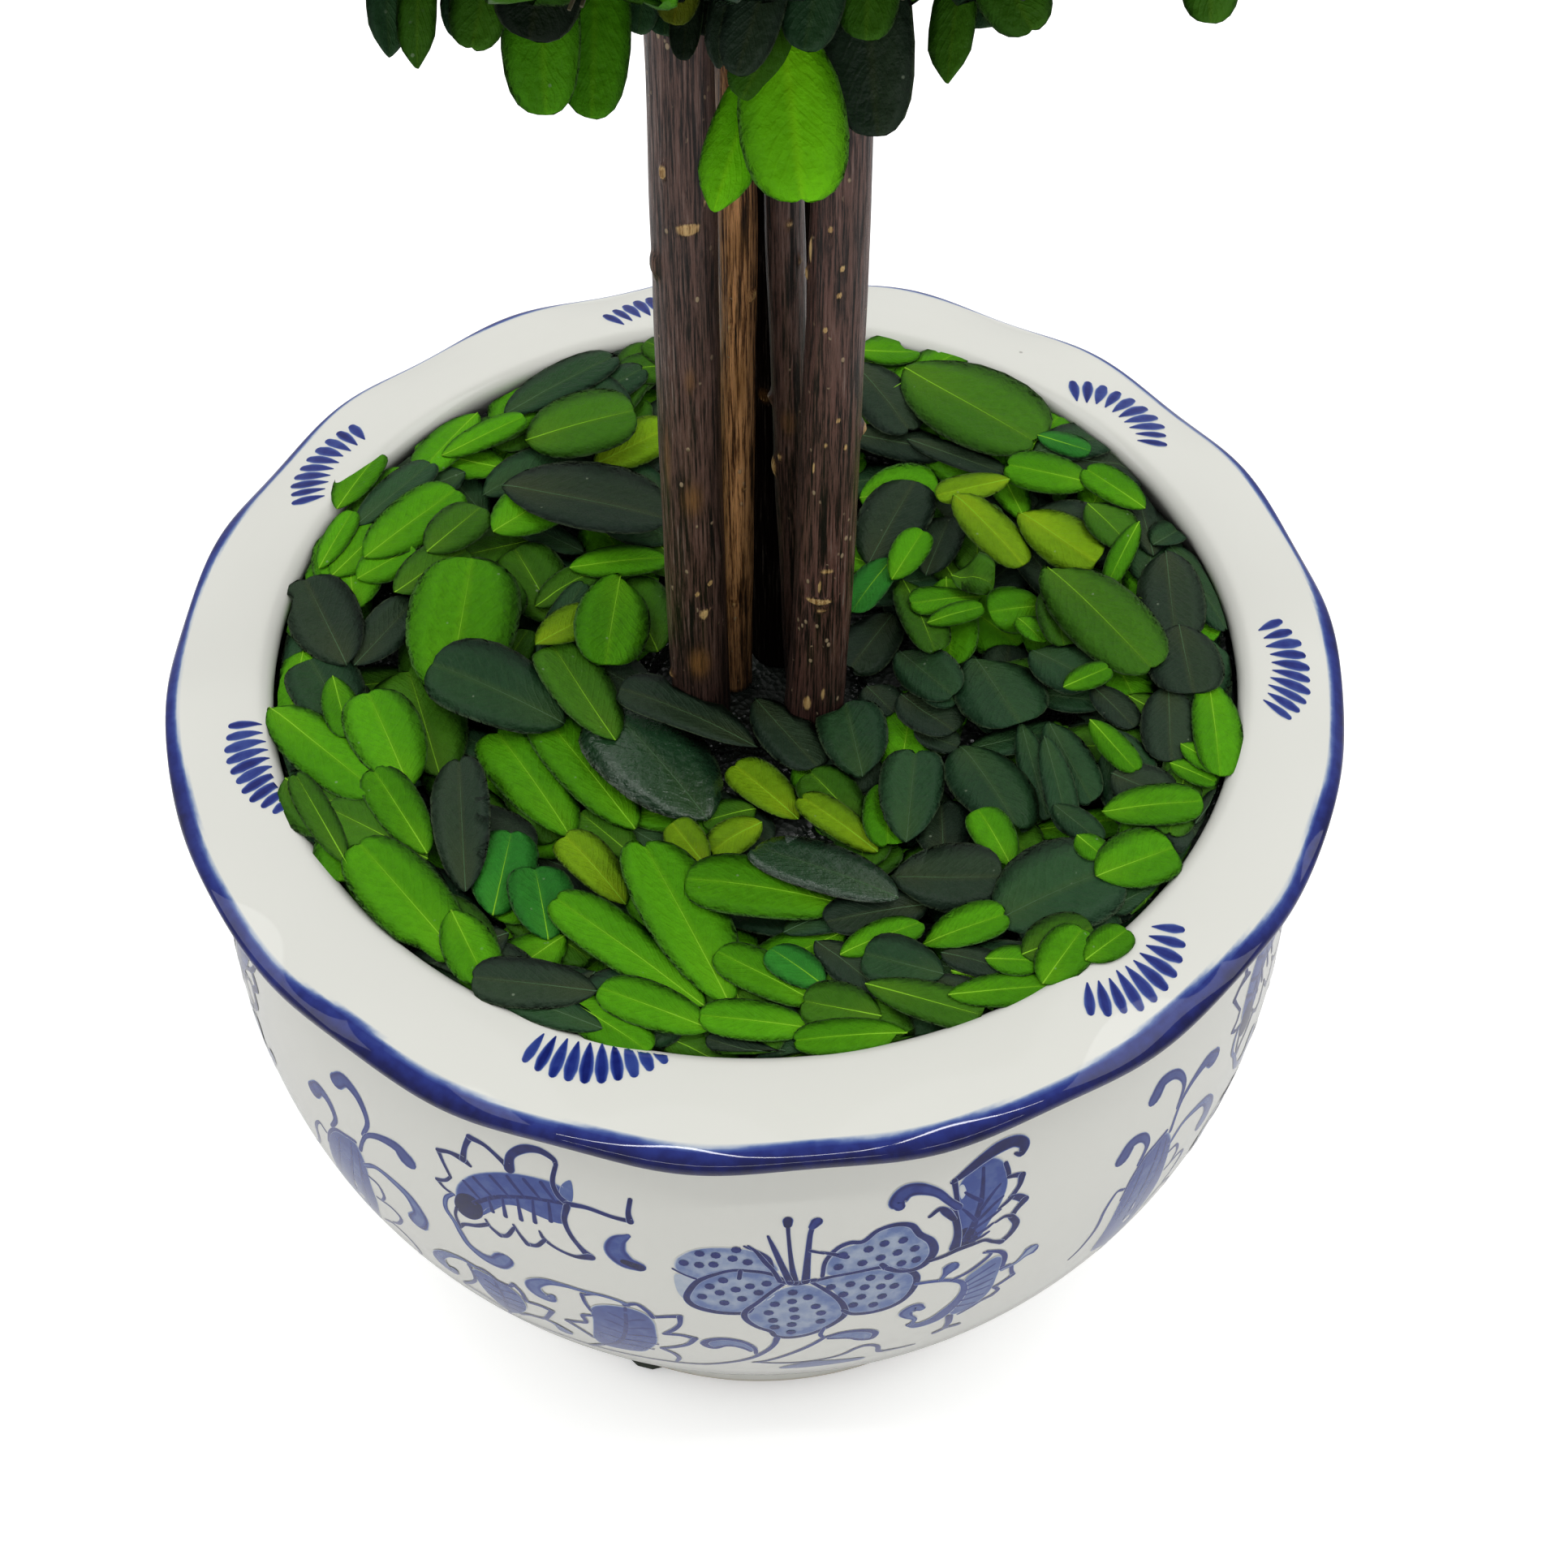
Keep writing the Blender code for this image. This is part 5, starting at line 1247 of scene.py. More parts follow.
# The rear stick gets a nearly black bark without coat or gloss: painted shade, for it stands in the shade
# of the others.
BARK_OF_STICK = {"stick_back_left": "tan_bark", "stick_rear": "shaded_bark"}
bark_finishes = {name: bark_finish(name, *values) for name, values in BARKS.items()}
for name in STICKS:
    bark = BARK_OF_STICK.get(name, "bark")
    add_mesh(name + "_bark", bark_tube(name), bark_finishes[bark], [name])

# %% [markdown]
# A boxwood leaf is small, leathery and widest beyond its middle, often with a nick at its
# tip. It is modelled as a thin closed shell: a grid of rows and columns on top, fewer faces
# below, and the two share their outline. Thousands of leaves are quickest as arrays that are
# joined into a few meshes, one for each shade. How far along and across its leaf each corner
# lies is kept for the veins.

# %% Leaf shell
LEAF_ROWS = (0.0, 0.035, 0.10, 0.20, 0.34, 0.50, 0.66, 0.79, 0.88, 0.945, 0.985, 1.0)
LEAF_OUTLINE = (0.06, 0.25, 0.49, 0.72, 0.90, 0.99, 1.0, 0.93, 0.815, 0.64, 0.41, 0.18)
SMALL_ROWS = (0.0, 0.16, 0.40, 0.64, 0.86, 1.0)
SMALL_OUTLINE = (0.07, 0.42, 0.87, 1.0, 0.86, 0.38)
LEAF_COLUMNS = (-1.0, -0.5, 0.0, 0.5, 1.0)


class LeafKind:
    """The rows, outline and faces that all leaves of one fineness share."""

    def __init__(self, rows, outline):
        along, across = np.meshgrid(rows, LEAF_COLUMNS, indexing="ij")
        self.along, self.across = along.ravel(), across.ravel()
        columns = len(LEAF_COLUMNS)
        self.half = np.repeat(outline, columns)
        self.rows = len(rows)
        last = len(rows) - 1
        middle = columns // 2
        lower = [len(rows) * columns + row for row in range(last - 1)]
        under = [middle, *lower, last * columns + middle]
        self.middle = np.array([row * columns + middle for row in range(1, last)])
        self.faces = []
        for row in range(last):
            near, far = row * columns, (row + 1) * columns
            for k in range(columns - 1):
                self.faces.append((near + k, near + k + 1, far + k + 1, far + k))
            left = [under[row], near, far, under[row + 1]]
            right = [under[row + 1], far + columns - 1, near + columns - 1, under[row]]
            if row == 0:
                left.insert(1, near + 1)
                right.insert(3, near + columns - 2)
            if row == last - 1:
                left.insert(-1, far + 1)
                right.insert(1, far + columns - 2)
            self.faces += [tuple(left), tuple(right)]


FINE_LEAF = LeafKind(LEAF_ROWS, LEAF_OUTLINE)
SMALL_LEAF = LeafKind(SMALL_ROWS, SMALL_OUTLINE)
LEAF_SHELL_THICKNESS = 0.00030


def leaf_grid(kind, length, width, notch, cup, fold, curl, twist=0.0, wave=0.0, point=0.0):
    """A leaf along +Y that faces +Z: its top corners as rows."""
    t, u = kind.along, kind.across
    near_tip = np.clip((t - 0.80) / 0.20, 0.0, 1.0)
    x = 0.5 * width * kind.half * u * (1.0 - point * near_tip ** 1.5)
    y = length * (t - near_tip ** 2 * notch * (1 - np.abs(u)) ** 2)
    z = 0.5 * width * kind.half * (cup * u * u + fold * np.abs(u))
    z = z - curl * length * (t - 0.35) ** 2 + twist * width * u * (t - 0.4)
    z = z + wave * width * np.sin(7.0 * t + 2.0 * u) * np.abs(u)
    return np.stack([x, y, z], axis=1)


def shell_corners(kind, top):
    """Add the lower middle corners, so that the leaf gets a thickness."""
    tops = top.copy()
    rows = top.reshape(kind.rows, len(LEAF_COLUMNS), 3)
    along = np.gradient(rows[:, 2], axis=0)
    side = rows[:, -1] - rows[:, 0]
    inner = 0.5 * LEAF_SHELL_THICKNESS * unit_rows(np.cross(side, along))[1:-1]
    for shift in (-1, 0, 1):
        tops[kind.middle + shift] += inner * (1.0 if shift == 0 else 0.8)
    return np.vstack([tops, top[kind.middle] - inner])


def placed(points, root, direction, facing):
    """Lay points that were made along +Y and facing +Z at a root, along a direction."""
    along = np.asarray(direction, float)
    along = along / np.linalg.norm(along)
    side = np.cross(along, facing)
    side /= np.linalg.norm(side)
    return np.asarray(root) + points @ np.stack([side, along, np.cross(side, along)])


class LeafPile:
    """Leaves of one shade that are joined into one mesh."""

    def __init__(self):
        self.corners, self.faces, self.along, self.across, self.tone = [], [], [], [], []
        self.count = 0
        self.leaves = 0

    def add(self, kind, corners, tone):
        self.corners.append(corners)
        self.faces += [tuple(self.count + index for index in face) for face in kind.faces]
        extra = len(corners) - len(kind.along)
        self.along.append(np.concatenate([kind.along, kind.along[kind.middle]]))
        self.across.append(np.concatenate([kind.across, np.zeros(extra)]))
        self.tone.append(np.full(len(corners), tone))
        self.count += len(corners)
        self.leaves += 1

    def piece(self, name, finish, slot, node):
        mesh = mesh_from_arrays(name, np.vstack(self.corners), self.faces)
        for value in ("along", "across", "tone"):
            store(mesh, value, np.concatenate(getattr(self, value)))
        add_mesh(name, mesh, finish, [node])


print("faces of a fine leaf:", len(FINE_LEAF.faces), "of a small leaf:", len(SMALL_LEAF.faces))

# %% [markdown]
# Preserved leaves have been soaked in glycerine and dye, so they are matt to silky and vary
# from nearly black to fresh yellow green. One function builds the leaf finish for a shade. A
# plain colour, a slight change from leaf to leaf and faint side veins in the relief are
# enough, because a joined mesh can't carry a fine picture for each leaf. The finish also
# paints shade on one half of each leaf and partly towards its margin, and two shades are
# painted light: a very dark one for leaves in the ball's shadow and a lighter one for two
# lit leaves.

# %% Leaf finishes
# Colour, roughness and specular level of each shade. The darkest one is painted shade, for
# fringe leaves in the ball's shadow, and the lightest one is painted light, for two fringe
# leaves that catch the light.
SHADES = {
    "black": ((0.022, 0.042, 0.020), 0.38, 0.16),
    "deep": ((0.022, 0.067, 0.022), 0.38, 0.16),
    "mid": ((0.045, 0.150, 0.006), 0.44, 0.10),
    "fresh": ((0.072, 0.285, 0.003), 0.48, 0.08),
    "lime": ((0.160, 0.310, 0.005), 0.48, 0.08),
    "olive": ((0.085, 0.110, 0.003), 0.48, 0.08),
    "mint": ((0.026, 0.200, 0.018), 0.46, 0.10),
    "glossy": ((0.013, 0.048, 0.016), 0.23, 0.95),
    "bright": ((0.150, 0.520, 0.003), 0.48, 0.08),
    "night": ((0.007, 0.015, 0.006), 0.42, 0.10),
}
DUST = (0.35, 0.42, 0.30)
HEM = (0.10, 0.15, 0.07)


def tinted(colour, factors, added=0.0):
    """A colour with each part multiplied by its own factor."""
    return tuple(min(1.0, factor * part + added) for factor, part in zip(factors, colour))


def leaf_finish(name, colour, roughness, gloss):
    """Silky dyed leaf: darker at its margin, partly its own green and partly painted shade, with painted
    shade on one half as on a folded leaf, and paler at its base and midrib.
    """
    leaf = Finish(name, {"Roughness": roughness, "Specular IOR Level": gloss})
    along, across = leaf.attribute("along"), leaf.attribute("across")
    outward = leaf.maths("ABSOLUTE", across)
    vein_phase = leaf.maths("SINE", along * 74.0 - outward * 26.0 + leaf.grain(210, 2.0) * 9.0)
    veins = leaf.between(vein_phase, 0.35, 1.0) * leaf.between(outward, 0.95, 0.5)
    mottle = leaf.grain(700, 4.0, roughness=0.6)
    tone = leaf.attribute("tone") * 0.75 + leaf.between(mottle, 0.3, 0.7) * 0.25
    shade = leaf.blend(tone, tinted(colour, (0.62, 0.62, 0.62)), tinted(colour, (1.34, 1.34, 1.34), 0.002))
    # Darker towards the margin: partly the leaf's own deeper green there, partly painted shade.
    margin = leaf.between(outward + leaf.grain(160, 2.0) * 0.5, 0.62, 1.30)
    shade = leaf.blend(margin * 0.34, shade, tinted(colour, (0.36, 0.50, 0.9)))
    # One half of each leaf is darker: painted shade, as on a leaf folded along its midrib.
    shaded_half = leaf.between(across, -0.06, 0.06)
    shade = leaf.blend(shaded_half * 0.30, shade, tinted(colour, (0.40, 0.52, 0.9)))
    base = leaf.between(along, 0.55, 0.0) * leaf.between(outward, 0.9, 0.2)
    paler = (*tinted(colour[:2], (1.9, 1.35), 0.01), colour[2] + 0.003)
    rib = leaf.between(outward, 0.16, 0.0)
    shade = leaf.blend(base * 0.35 + veins * 0.04 + rib * 0.30, shade, paler)
    dust = leaf.between(leaf.cells(520), 0.16, 0.08) * leaf.between(leaf.grain(330, 2.0), 0.60, 0.68)
    shade = leaf.blend(dust * 0.35, shade, DUST)
    # A thin grey-green line along the outline, darker than light leaves as painted shade of their edge,
    # and lighter than dark ones.
    hem = leaf.between(outward, 0.90, 0.99) * leaf.between(along, 0.04, 0.2)
    shade = leaf.blend(hem * 0.45, shade, HEM)
    leaf.set("Base Color", shade)
    leaf.set("Roughness", leaf.between(mottle, 0.3, 0.7, roughness - 0.07, roughness + 0.12))
    leaf.relief(veins * 0.10 + mottle + leaf.grain(190, 2.0) * 1.6, 0.00045, 1.0)
    return leaf


leaf_finishes = {shade: leaf_finish(shade + "_leaf", *values) for shade, values in SHADES.items()}
# Each kind of midrib: roughness, specular level, darker and lighter colour.
RIBS = {
    "pale": (0.45, 0.1, (0.17, 0.45, 0.01), (0.30, 0.62, 0.04)),
    "dark": (0.4, 0.4, (0.035, 0.095, 0.036), (0.075, 0.155, 0.070)),
}
rib_finishes = {}
for kind, (roughness, gloss, darker, lighter) in RIBS.items():
    rib = Finish(kind + "_rib", {"Roughness": roughness, "Specular IOR Level": gloss})
    rib.set("Base Color", rib.blend(rib.grain(300), darker, lighter))
    rib_finishes[kind] = rib
print("leaf shades:", ", ".join(SHADES))

# %% [markdown]
# The bed is a scatter of picked leaves, so each visible one has its own place. The table
# gives the root and the tip of a leaf on a plan of the bowl in millimetres, with x to the
# right and y to the back, then its width and its shade, and for some how far the tip is
# raised. Leaves further down the table lie on top. A height map of the bed, half a
# millimetre fine, lets every new leaf settle on what already lies there: several slopes are
# tried, and the one that sinks deepest is kept. The plan is drawn on one level plane, so a
# leaf that settles higher is laid once more where it hides its drawn place from the camera.
# Seeded leaves fill the layers below.

# %% Leaves of the bed by place
LETTERS = {"K": "black", "D": "deep", "M": "mid", "G": "fresh", "Y": "lime", "E": "mint", "S": "glossy"}
BED_LEAVES = (
    # Front left, lower layer.
    (-53, -20, -60, 3, 14, "M"), (-20, -37, -29, -28, 8, "M"), (-12, -60, -22, -39, 5, "G"),
    (5, -77, -7, -73, 4, "K"), (-24, -71, -40, -64, 6, "D"), (-54, -37, -71, -27, 11, "M"),
    (-70, -9, -77, 6, 12, "D"), (0, -27, -9, -30, 7, "M"), (-42, -50, -40, -32, 10, "E"),
    (-33, -54, -36, -39, 10, "E"),
    # Front left, upper layer.
    (-83, -5, -63, -24.5, 11, "G"), (-73, 2, -69, -12, 6, "G"), (-58, -23, -66, -3, 12, "G"),
    (-54, -36, -64, -19, 8, "G"), (-67, -38, -77, -20, 5, "M", 1), (-46.5, -58, -64.5, -35, 12, "G"),
    (-49, -48, -43, -61, 8, "G"), (-25, -65, -44, -61, 9, "K", 1), (-47, -44, -50, -17, 9, "K", 5),
    (-30.5, -33, -44, -10, 12, "G"), (-20, -31, -36, -7, 11.5, "G"), (-8, -29, -24, -6, 19, "S", 2),
    (1, -30, -7, -36, 6, "Y"), (7, -29, -4, -17, 8, "Y"), (-8, -39, -13, -31, 6, "Y"),
    (-21, -47, -31, -33, 8, "Y"), (-8, -67, -32, -46, 9.5, "G"), (-4, -66, -19, -33, 13, "G", 3),
    (-7, -71, -24, -64, 8, "G"), (9, -71, -8, -69, 7, "G"), (10, -67, -5, -57, 8, "G"),
    (15, -48, -10, -42, 13, "G"),
    # Front right, lower layer.
    (28, -62, 40, -68, 6, "K"), (30, -57, 40, -60, 6, "K"), (10, -54, 20, -65, 7, "K"),
    (28, -47, 11, -51, 8, "K"), (19, 0, 24, -7, 7, "K"), (27, -10, 34, -14, 5, "K"),
    (25, -2, 34, -11, 10, "K"), (48, -1, 60, -3, 6, "D"), (58, 0, 64, -9, 6, "K"),
    (60, -10, 66, -20, 6, "D"), (60, -19, 69, -25, 9, "K"), (73, -30, 78, -23, 3, "K"),
    (57, -48, 66, -43, 6, "D"), (50, -8, 57, -25, 7, "D"), (45, -10, 49, -28, 5, "D"),
    (49, -12, 52, -30, 5, "D"), (50, -25, 56, -35, 5, "D"), (0, -3, 11, -19, 9, "K"),
    # Front right, upper layer.
    (17, -30, 9, -19, 9, "M"), (20, -36, 7, -24, 6, "Y"), (18, -20, 15, -2, 11, "D", 1),
    (22, -21, 22, -36, 8, "G"), (31, -38, 31, -26, 9, "K", 1), (25, -34, 27, -14, 10, "D", 1),
    (29, 2, 35, -5, 7, "D"), (38, 6, 46, -12, 14, "D", 1), (35, -11, 43, -30, 13, "D", 1),
    (42, -38, 37, -28, 7, "G"), (22, -42, 40, -41, 12, "K", 1), (39, -50, 58, -40, 17, "D", 1),
    (23, -46, -1, -36, 11, "S", 1), (27, -55, 40, -49, 8, "G"), (14, -57, 27, -50, 6, "G"),
    (30, -61, 18, -57, 10, "D"), (11, -63, 3, -56, 7, "E"), (20, -68, 8, -66, 9, "M"),
    (24, -71, 7, -73, 6, "G"), (18, -63, 38, -69, 7, "M"), (31, -65, 47, -63, 6, "G"),
    (37, -58, 45, -58, 6, "G"), (43, -57, 54, -52, 9, "M"), (46, -62, 53, -52, 8, "G"),
    (53, -58, 60, -52, 6, "G"), (53, -34, 57, -38, 5, "G"), (56, -41, 69, -35, 11, "G"),
    (58, -27, 74, -26, 8, "G", 1), (71, 0, 70, -16, 9, "K"), (70, -17, 77, -21, 5, "G"),
    (72, -13, 78, -18, 5, "G"), (78, 1, 78, -20, 8, "G"), (57, -8, 64, -19, 5, "G"),
    # Rear left, lower layer.
    (-47, 67, -28, 82, 9, "D"), (-39, 20, -28, 27, 6, "M"), (-38, 8, -31, 24, 5, "D"),
    (-72, 38, -60, 54, 7, "D"), (-69, 3, -62, 20, 8, "K"), (-18, -2, -28, 5, 9, "K"),
    (-71, 5, -80, 25, 12, "K"), (-71, 26, -62, 33, 8, "G"), (-50, 48, -33, 62, 9, "D"),
    # Rear left, upper layer.
    (-78, 28, -73, 41, 5, "G"), (-76, 42, -69, 56, 7, "G"), (-70, 31, -55, 48, 11, "G"),
    (-64, 23, -52, 34, 9, "M"), (-59, 32, -50, 43, 9, "M"), (-55, 20, -43, 28, 13, "M"),
    (-53, -3, -51, 27, 18, "G"), (-33, -7, -54, 5, 15, "D", 1), (-24, -12, -35, 8, 11, "M", 1),
    (-38, 8, -27, 18, 8, "Y"), (-33, 27, -16, 31, 7, "G"), (-24.5, 27, -26, 6, 12, "G"),
    (-47, 34, -35, 47, 11, "G"), (-46, 47, -18, 38, 17, "K", 1), (-30, 56, -17, 66, 9, "Y"),
    (-43, 62, -24, 68, 15, "M", 8), (-58, 56, -45, 66, 6, "G", 7), (0, -13, -22, -2, 10, "K", 1),
    # Rear right, lower layer.
    (50, 44, 64, 33, 12, "K"), (28, 62, 45, 53, 5, "K"), (30, 26, 34, 38, 8, "K"),
    (18, 80, 29, 63, 10, "K"), (24, 18, 17, 5, 10, "K"), (25, 8, 35, -4, 9, "D"), (26, 25, 32, 5, 8, "M"),
    (48, 8, 59, 0, 10, "D"), (74, 33, 82, 11, 8, "D"), (71, 33, 77, 38, 7, "D"), (51, 57, 66, 61, 9, "D"),
    # Rear right, upper layer.
    (19, 82, 30, 84, 9, "G"), (28, 79, 51, 60, 19, "M"), (52, 62, 61, 58, 6, "E"),
    (61, 50, 46, 54, 9, "G"), (19, 52, 33, 52, 11, "G"), (20, 30, 27, 47, 12, "K", 1),
    (46, 51, 33, 48, 6, "Y"), (36, 47, 47, 32, 9, "Y"), (48, 45, 60, 32, 10, "Y"),
    (60, 44, 66, 35, 9, "M"), (70, 42, 61, 52, 7, "G"), (69, 40, 63, 27, 4, "G"),
    (73, 31, 73, 9, 11, "K", 1), (74, 14, 75, -1, 12, "K", 1), (40, 26, 28, 22, 7, "G"),
    (30, 15, 40, 18, 4, "G"), (24, 31, 18, 20, 7, "E"), (24, 25, 29, 36, 6, "G"),
    (35, 30, 42, 27, 7, "M"), (51, 22, 41, 20, 9, "G"), (46, 16, 49, 9, 5, "G"), (52, 24, 53, 9, 7, "M"),
    (52, 29, 69, 3, 14, "M", 1), (53, 0, 61, 4, 5, "G"),
)
FILLER_LETTERS = "KDDMMGG"
FILLER_LEAVES = 210
EDGE_LEAVES = 130
FILLER_BEND = 0.25
WIDTH_GAIN = 1.10
LENGTH_GAIN = 1.03
print("leaves with a place of their own:", len(BED_LEAVES))

# %% The bed
CELL = 0.0005
CELLS = 360
BED_LEVEL_Z = BED_TOP_Z + 0.0004
PLAN_Z = 0.139
SOFT_TOP_Z = LIP_Z - 0.0030
SOFT_DEPTH = 0.0042
SPREAD_CELLS = 3
PITCHES = (-8, -3, 2, 7, 12)
ROLLS = (-12, -4, 4, 12)
RESTING_SHARE = 80
CLEARANCE = 0.0003
LEAF_LEVEL_Z = 0.140
STICK_ROOM = 0.0006
LIP_ROOM = 0.0008
ROOT_CORNER = 2
TIP_CORNER = -3
RIB_WIDTHS = {"dark": 0.00034, "pale": 0.00042}
RIB_HEIGHT = 0.00011
cell_line = (np.arange(CELLS) - CELLS // 2) * CELL
heights = BED_LEVEL_Z + bed_rise(np.hypot(cell_line[:, None], cell_line[None, :]))
finer = np.linspace(0, 1, 31)


def widened(heights):
    """The height map with every high spot spread a little, so that no spot pokes through."""
    wide = heights
    for axis in (0, 1):
        shifts = range(-SPREAD_CELLS, SPREAD_CELLS + 1)
        wide = np.max([np.roll(wide, shift, axis) for shift in shifts], axis=0)
    return wide


def cells_at(points):
    """The row and column of the height map below each point."""
    cells = np.clip((points / CELL + CELLS // 2).astype(int), 0, CELLS - 1)
    return cells[:, 1], cells[:, 0]


def dense(leaf):
    """The upper side of a leaf as many close points."""
    grid = leaf.reshape(FINE_LEAF.rows, len(LEAF_COLUMNS), 3)
    rows = finer * (FINE_LEAF.rows - 1)
    low = np.minimum(rows.astype(int), FINE_LEAF.rows - 2)
    part = (rows - low)[:, None, None]
    grid = grid[low] * (1 - part) + grid[low + 1] * part
    columns = finer * (len(LEAF_COLUMNS) - 1)
    low = np.minimum(columns.astype(int), len(LEAF_COLUMNS) - 2)
    part = (columns - low)[None, :, None]
    return (grid[:, low] * (1 - part) + grid[:, low + 1] * part).reshape(-1, 3)


def keep_inside(points):
    """Push points that would touch the bowl's lip or the sticks to where there is room."""
    radius = np.hypot(points[:, 0], points[:, 1])
    limit = np.where(points[:, 2] < LIP_Z - 0.0005, LIP_RADIUS - LIP_ROOM, 1.0)
    shrink = np.minimum(1.0, limit / np.maximum(radius, 1e-6))
    points = points.copy()
    points[:, :2] *= shrink[:, None]
    for stick in STICKS.values():
        x, y, stick_radius = stick_centre(stick, LEAF_LEVEL_Z)
        away = points[:, :2] - np.array((x, y))
        gap = np.hypot(away[:, 0], away[:, 1])
        room = stick_radius + STICK_ROOM
        push = room / np.maximum(gap, 1e-6)
        inside = gap < room
        points[inside, :2] = (np.array((x, y)) + away * push[:, None])[inside]
    return points


def at_height(spot, height):
    """The place at a height that hides the spot of the plan's plane from the camera."""
    eye = np.array(CAMERA_PLACE)
    flat = np.array((*spot, PLAN_Z))
    return (eye + (flat - eye) * (eye[2] - height) / (eye[2] - PLAN_Z))[:2]


def pressed(leaf):
    """Ease down what would stand high above the lip, so that leaves keep their order."""
    over = np.maximum(leaf[:, 2] - SOFT_TOP_Z, 0.0)
    leaf = leaf.copy()
    leaf[:, 2] = np.minimum(leaf[:, 2], SOFT_TOP_Z) + SOFT_DEPTH * (1.0 - np.exp(-over / SOFT_DEPTH))
    return leaf


def leaf_shape(length, width, draw, bend):
    """A leaf of the bed, more or less bent."""
    return leaf_grid(FINE_LEAF, length, width, notch=draw.choice((0.0, 0.01, 0.02, 0.04)),
                     cup=bend * draw.uniform(-0.16, 0.06), fold=bend * draw.uniform(0.04, 0.26),
                     curl=bend * draw.uniform(-0.02, 0.18), twist=bend * draw.uniform(-0.14, 0.14),
                     wave=bend * draw.uniform(0.0, 0.035))


def tilted(root, heading, flat, pitch, roll):
    """A flat leaf laid at a root, tilted along and across its heading."""
    up = math.radians(pitch)
    side = math.radians(roll)
    facing = (-heading[1] * math.sin(side), heading[0] * math.sin(side), math.cos(side))
    return placed(flat, (*root, 0.0), (*(heading * math.cos(up)), math.sin(up)), facing)


def settle(root, tip, flat, raised):
    """Lay a leaf on the height map and return its top corners."""
    ground = widened(heights)
    best = None
    heading = (tip - root) / np.linalg.norm(tip - root)
    for pitch, roll in itertools.product(PITCHES, ROLLS):
        leaf = tilted(root, heading, flat, pitch, roll)
        need = ground[cells_at(leaf[:, :2])] - leaf[:, 2]
        lift = np.percentile(need, RESTING_SHARE)
        cost = np.mean(leaf[:, 2] + lift) + 0.25 * np.mean(np.maximum(need - lift, 0.0))
        if best is None or cost < best[0]:
            best = (cost, leaf, lift)
    _, leaf, lift = best
    leaf[:, 2] += lift + 0.00012
    leaf[:, 2] += 0.001 * raised * FINE_LEAF.along ** 1.5
    leaf = keep_inside(leaf)
    spots = dense(leaf)
    sunk = np.maximum(heights[cells_at(spots[:, :2])] + CLEARANCE - spots[:, 2], 0.0)
    sunk = sunk.reshape(len(finer), len(finer))
    grid = np.zeros((FINE_LEAF.rows, len(LEAF_COLUMNS)))
    rows = np.minimum((finer * (FINE_LEAF.rows - 1)).astype(int), FINE_LEAF.rows - 2)
    columns = np.minimum((finer * (len(LEAF_COLUMNS) - 1)).astype(int), len(LEAF_COLUMNS) - 2)
    for down in (0, 1):
        for over in (0, 1):
            np.maximum.at(grid, (rows[:, None] + down, columns[None, :] + over), sunk)
    for _ in range(2):
        padded = np.pad(grid, 1, mode="edge")
        nearby = 0.25 * (padded[:-2, 1:-1] + padded[2:, 1:-1] + padded[1:-1, :-2] + padded[1:-1, 2:])
        grid = np.maximum(grid, nearby)
    leaf[:, 2] += grid.ravel()
    return leaf


def press_in(leaf):
    """Record a settled leaf in the height map."""
    spots = dense(leaf)
    np.maximum.at(heights, cells_at(spots[:, :2]), spots[:, 2])


def rib_along(leaf, width):
    """A slim ridge along the middle of a settled leaf: three corners for each row."""
    rows = leaf.reshape(FINE_LEAF.rows, len(LEAF_COLUMNS), 3)
    middle = rows[:, len(LEAF_COLUMNS) // 2]
    side = unit_rows(rows[:, -2] - rows[:, 1])
    normal = unit_rows(np.cross(side, np.gradient(middle, axis=0)))
    taper = np.interp(LEAF_ROWS, (0, 0.06, 0.7, 0.97, 1), (0.9, 1.0, 0.5, 0.12, 0.05))[:, None]
    half = 0.5 * width * taper
    top = middle + normal * (0.5 * LEAF_SHELL_THICKNESS)
    sunken = top - normal * 0.0001
    crest = top + normal * RIB_HEIGHT * taper
    ridge = np.stack([sunken - side * half, crest, sunken + side * half], axis=1)
    return ridge[:-1].reshape(-1, 3)


class RibPile:
    """Midribs of one kind that are joined into one mesh."""

    def __init__(self):
        self.corners, self.faces, self.count = [], [], 0

    def add(self, ridge):
        rows = len(ridge) // 3
        at = self.count
        for row in range(rows - 1):
            for k in range(3):
                near, far = at + 3 * row, at + 3 * row + 3
                self.faces.append((near + k, near + (k + 1) % 3, far + (k + 1) % 3, far + k))
        self.faces += [(at + 2, at + 1, at), (at + 3 * rows - 3, at + 3 * rows - 2, at + 3 * rows - 1)]
        self.corners.append(ridge)
        self.count += len(ridge)


def scattered(count, draw, inner, outer):
    """Seeded places for leaves on a ring, root and tip in millimetres."""
    for _ in range(count):
        angle = draw.uniform(0, math.tau)
        radius = math.sqrt(draw.uniform(inner ** 2, outer ** 2))
        centre = np.array((radius * math.sin(angle), -radius * math.cos(angle)))
        heading = angle + draw.uniform(-2.0, 2.0)
        reach = 0.5 * draw.uniform(14, 21)
        out = np.array((math.sin(heading), -math.cos(heading)))
        yield (*(centre - out * reach), *(centre + out * reach), draw.uniform(7, 12),
               draw.choice(FILLER_LETTERS))


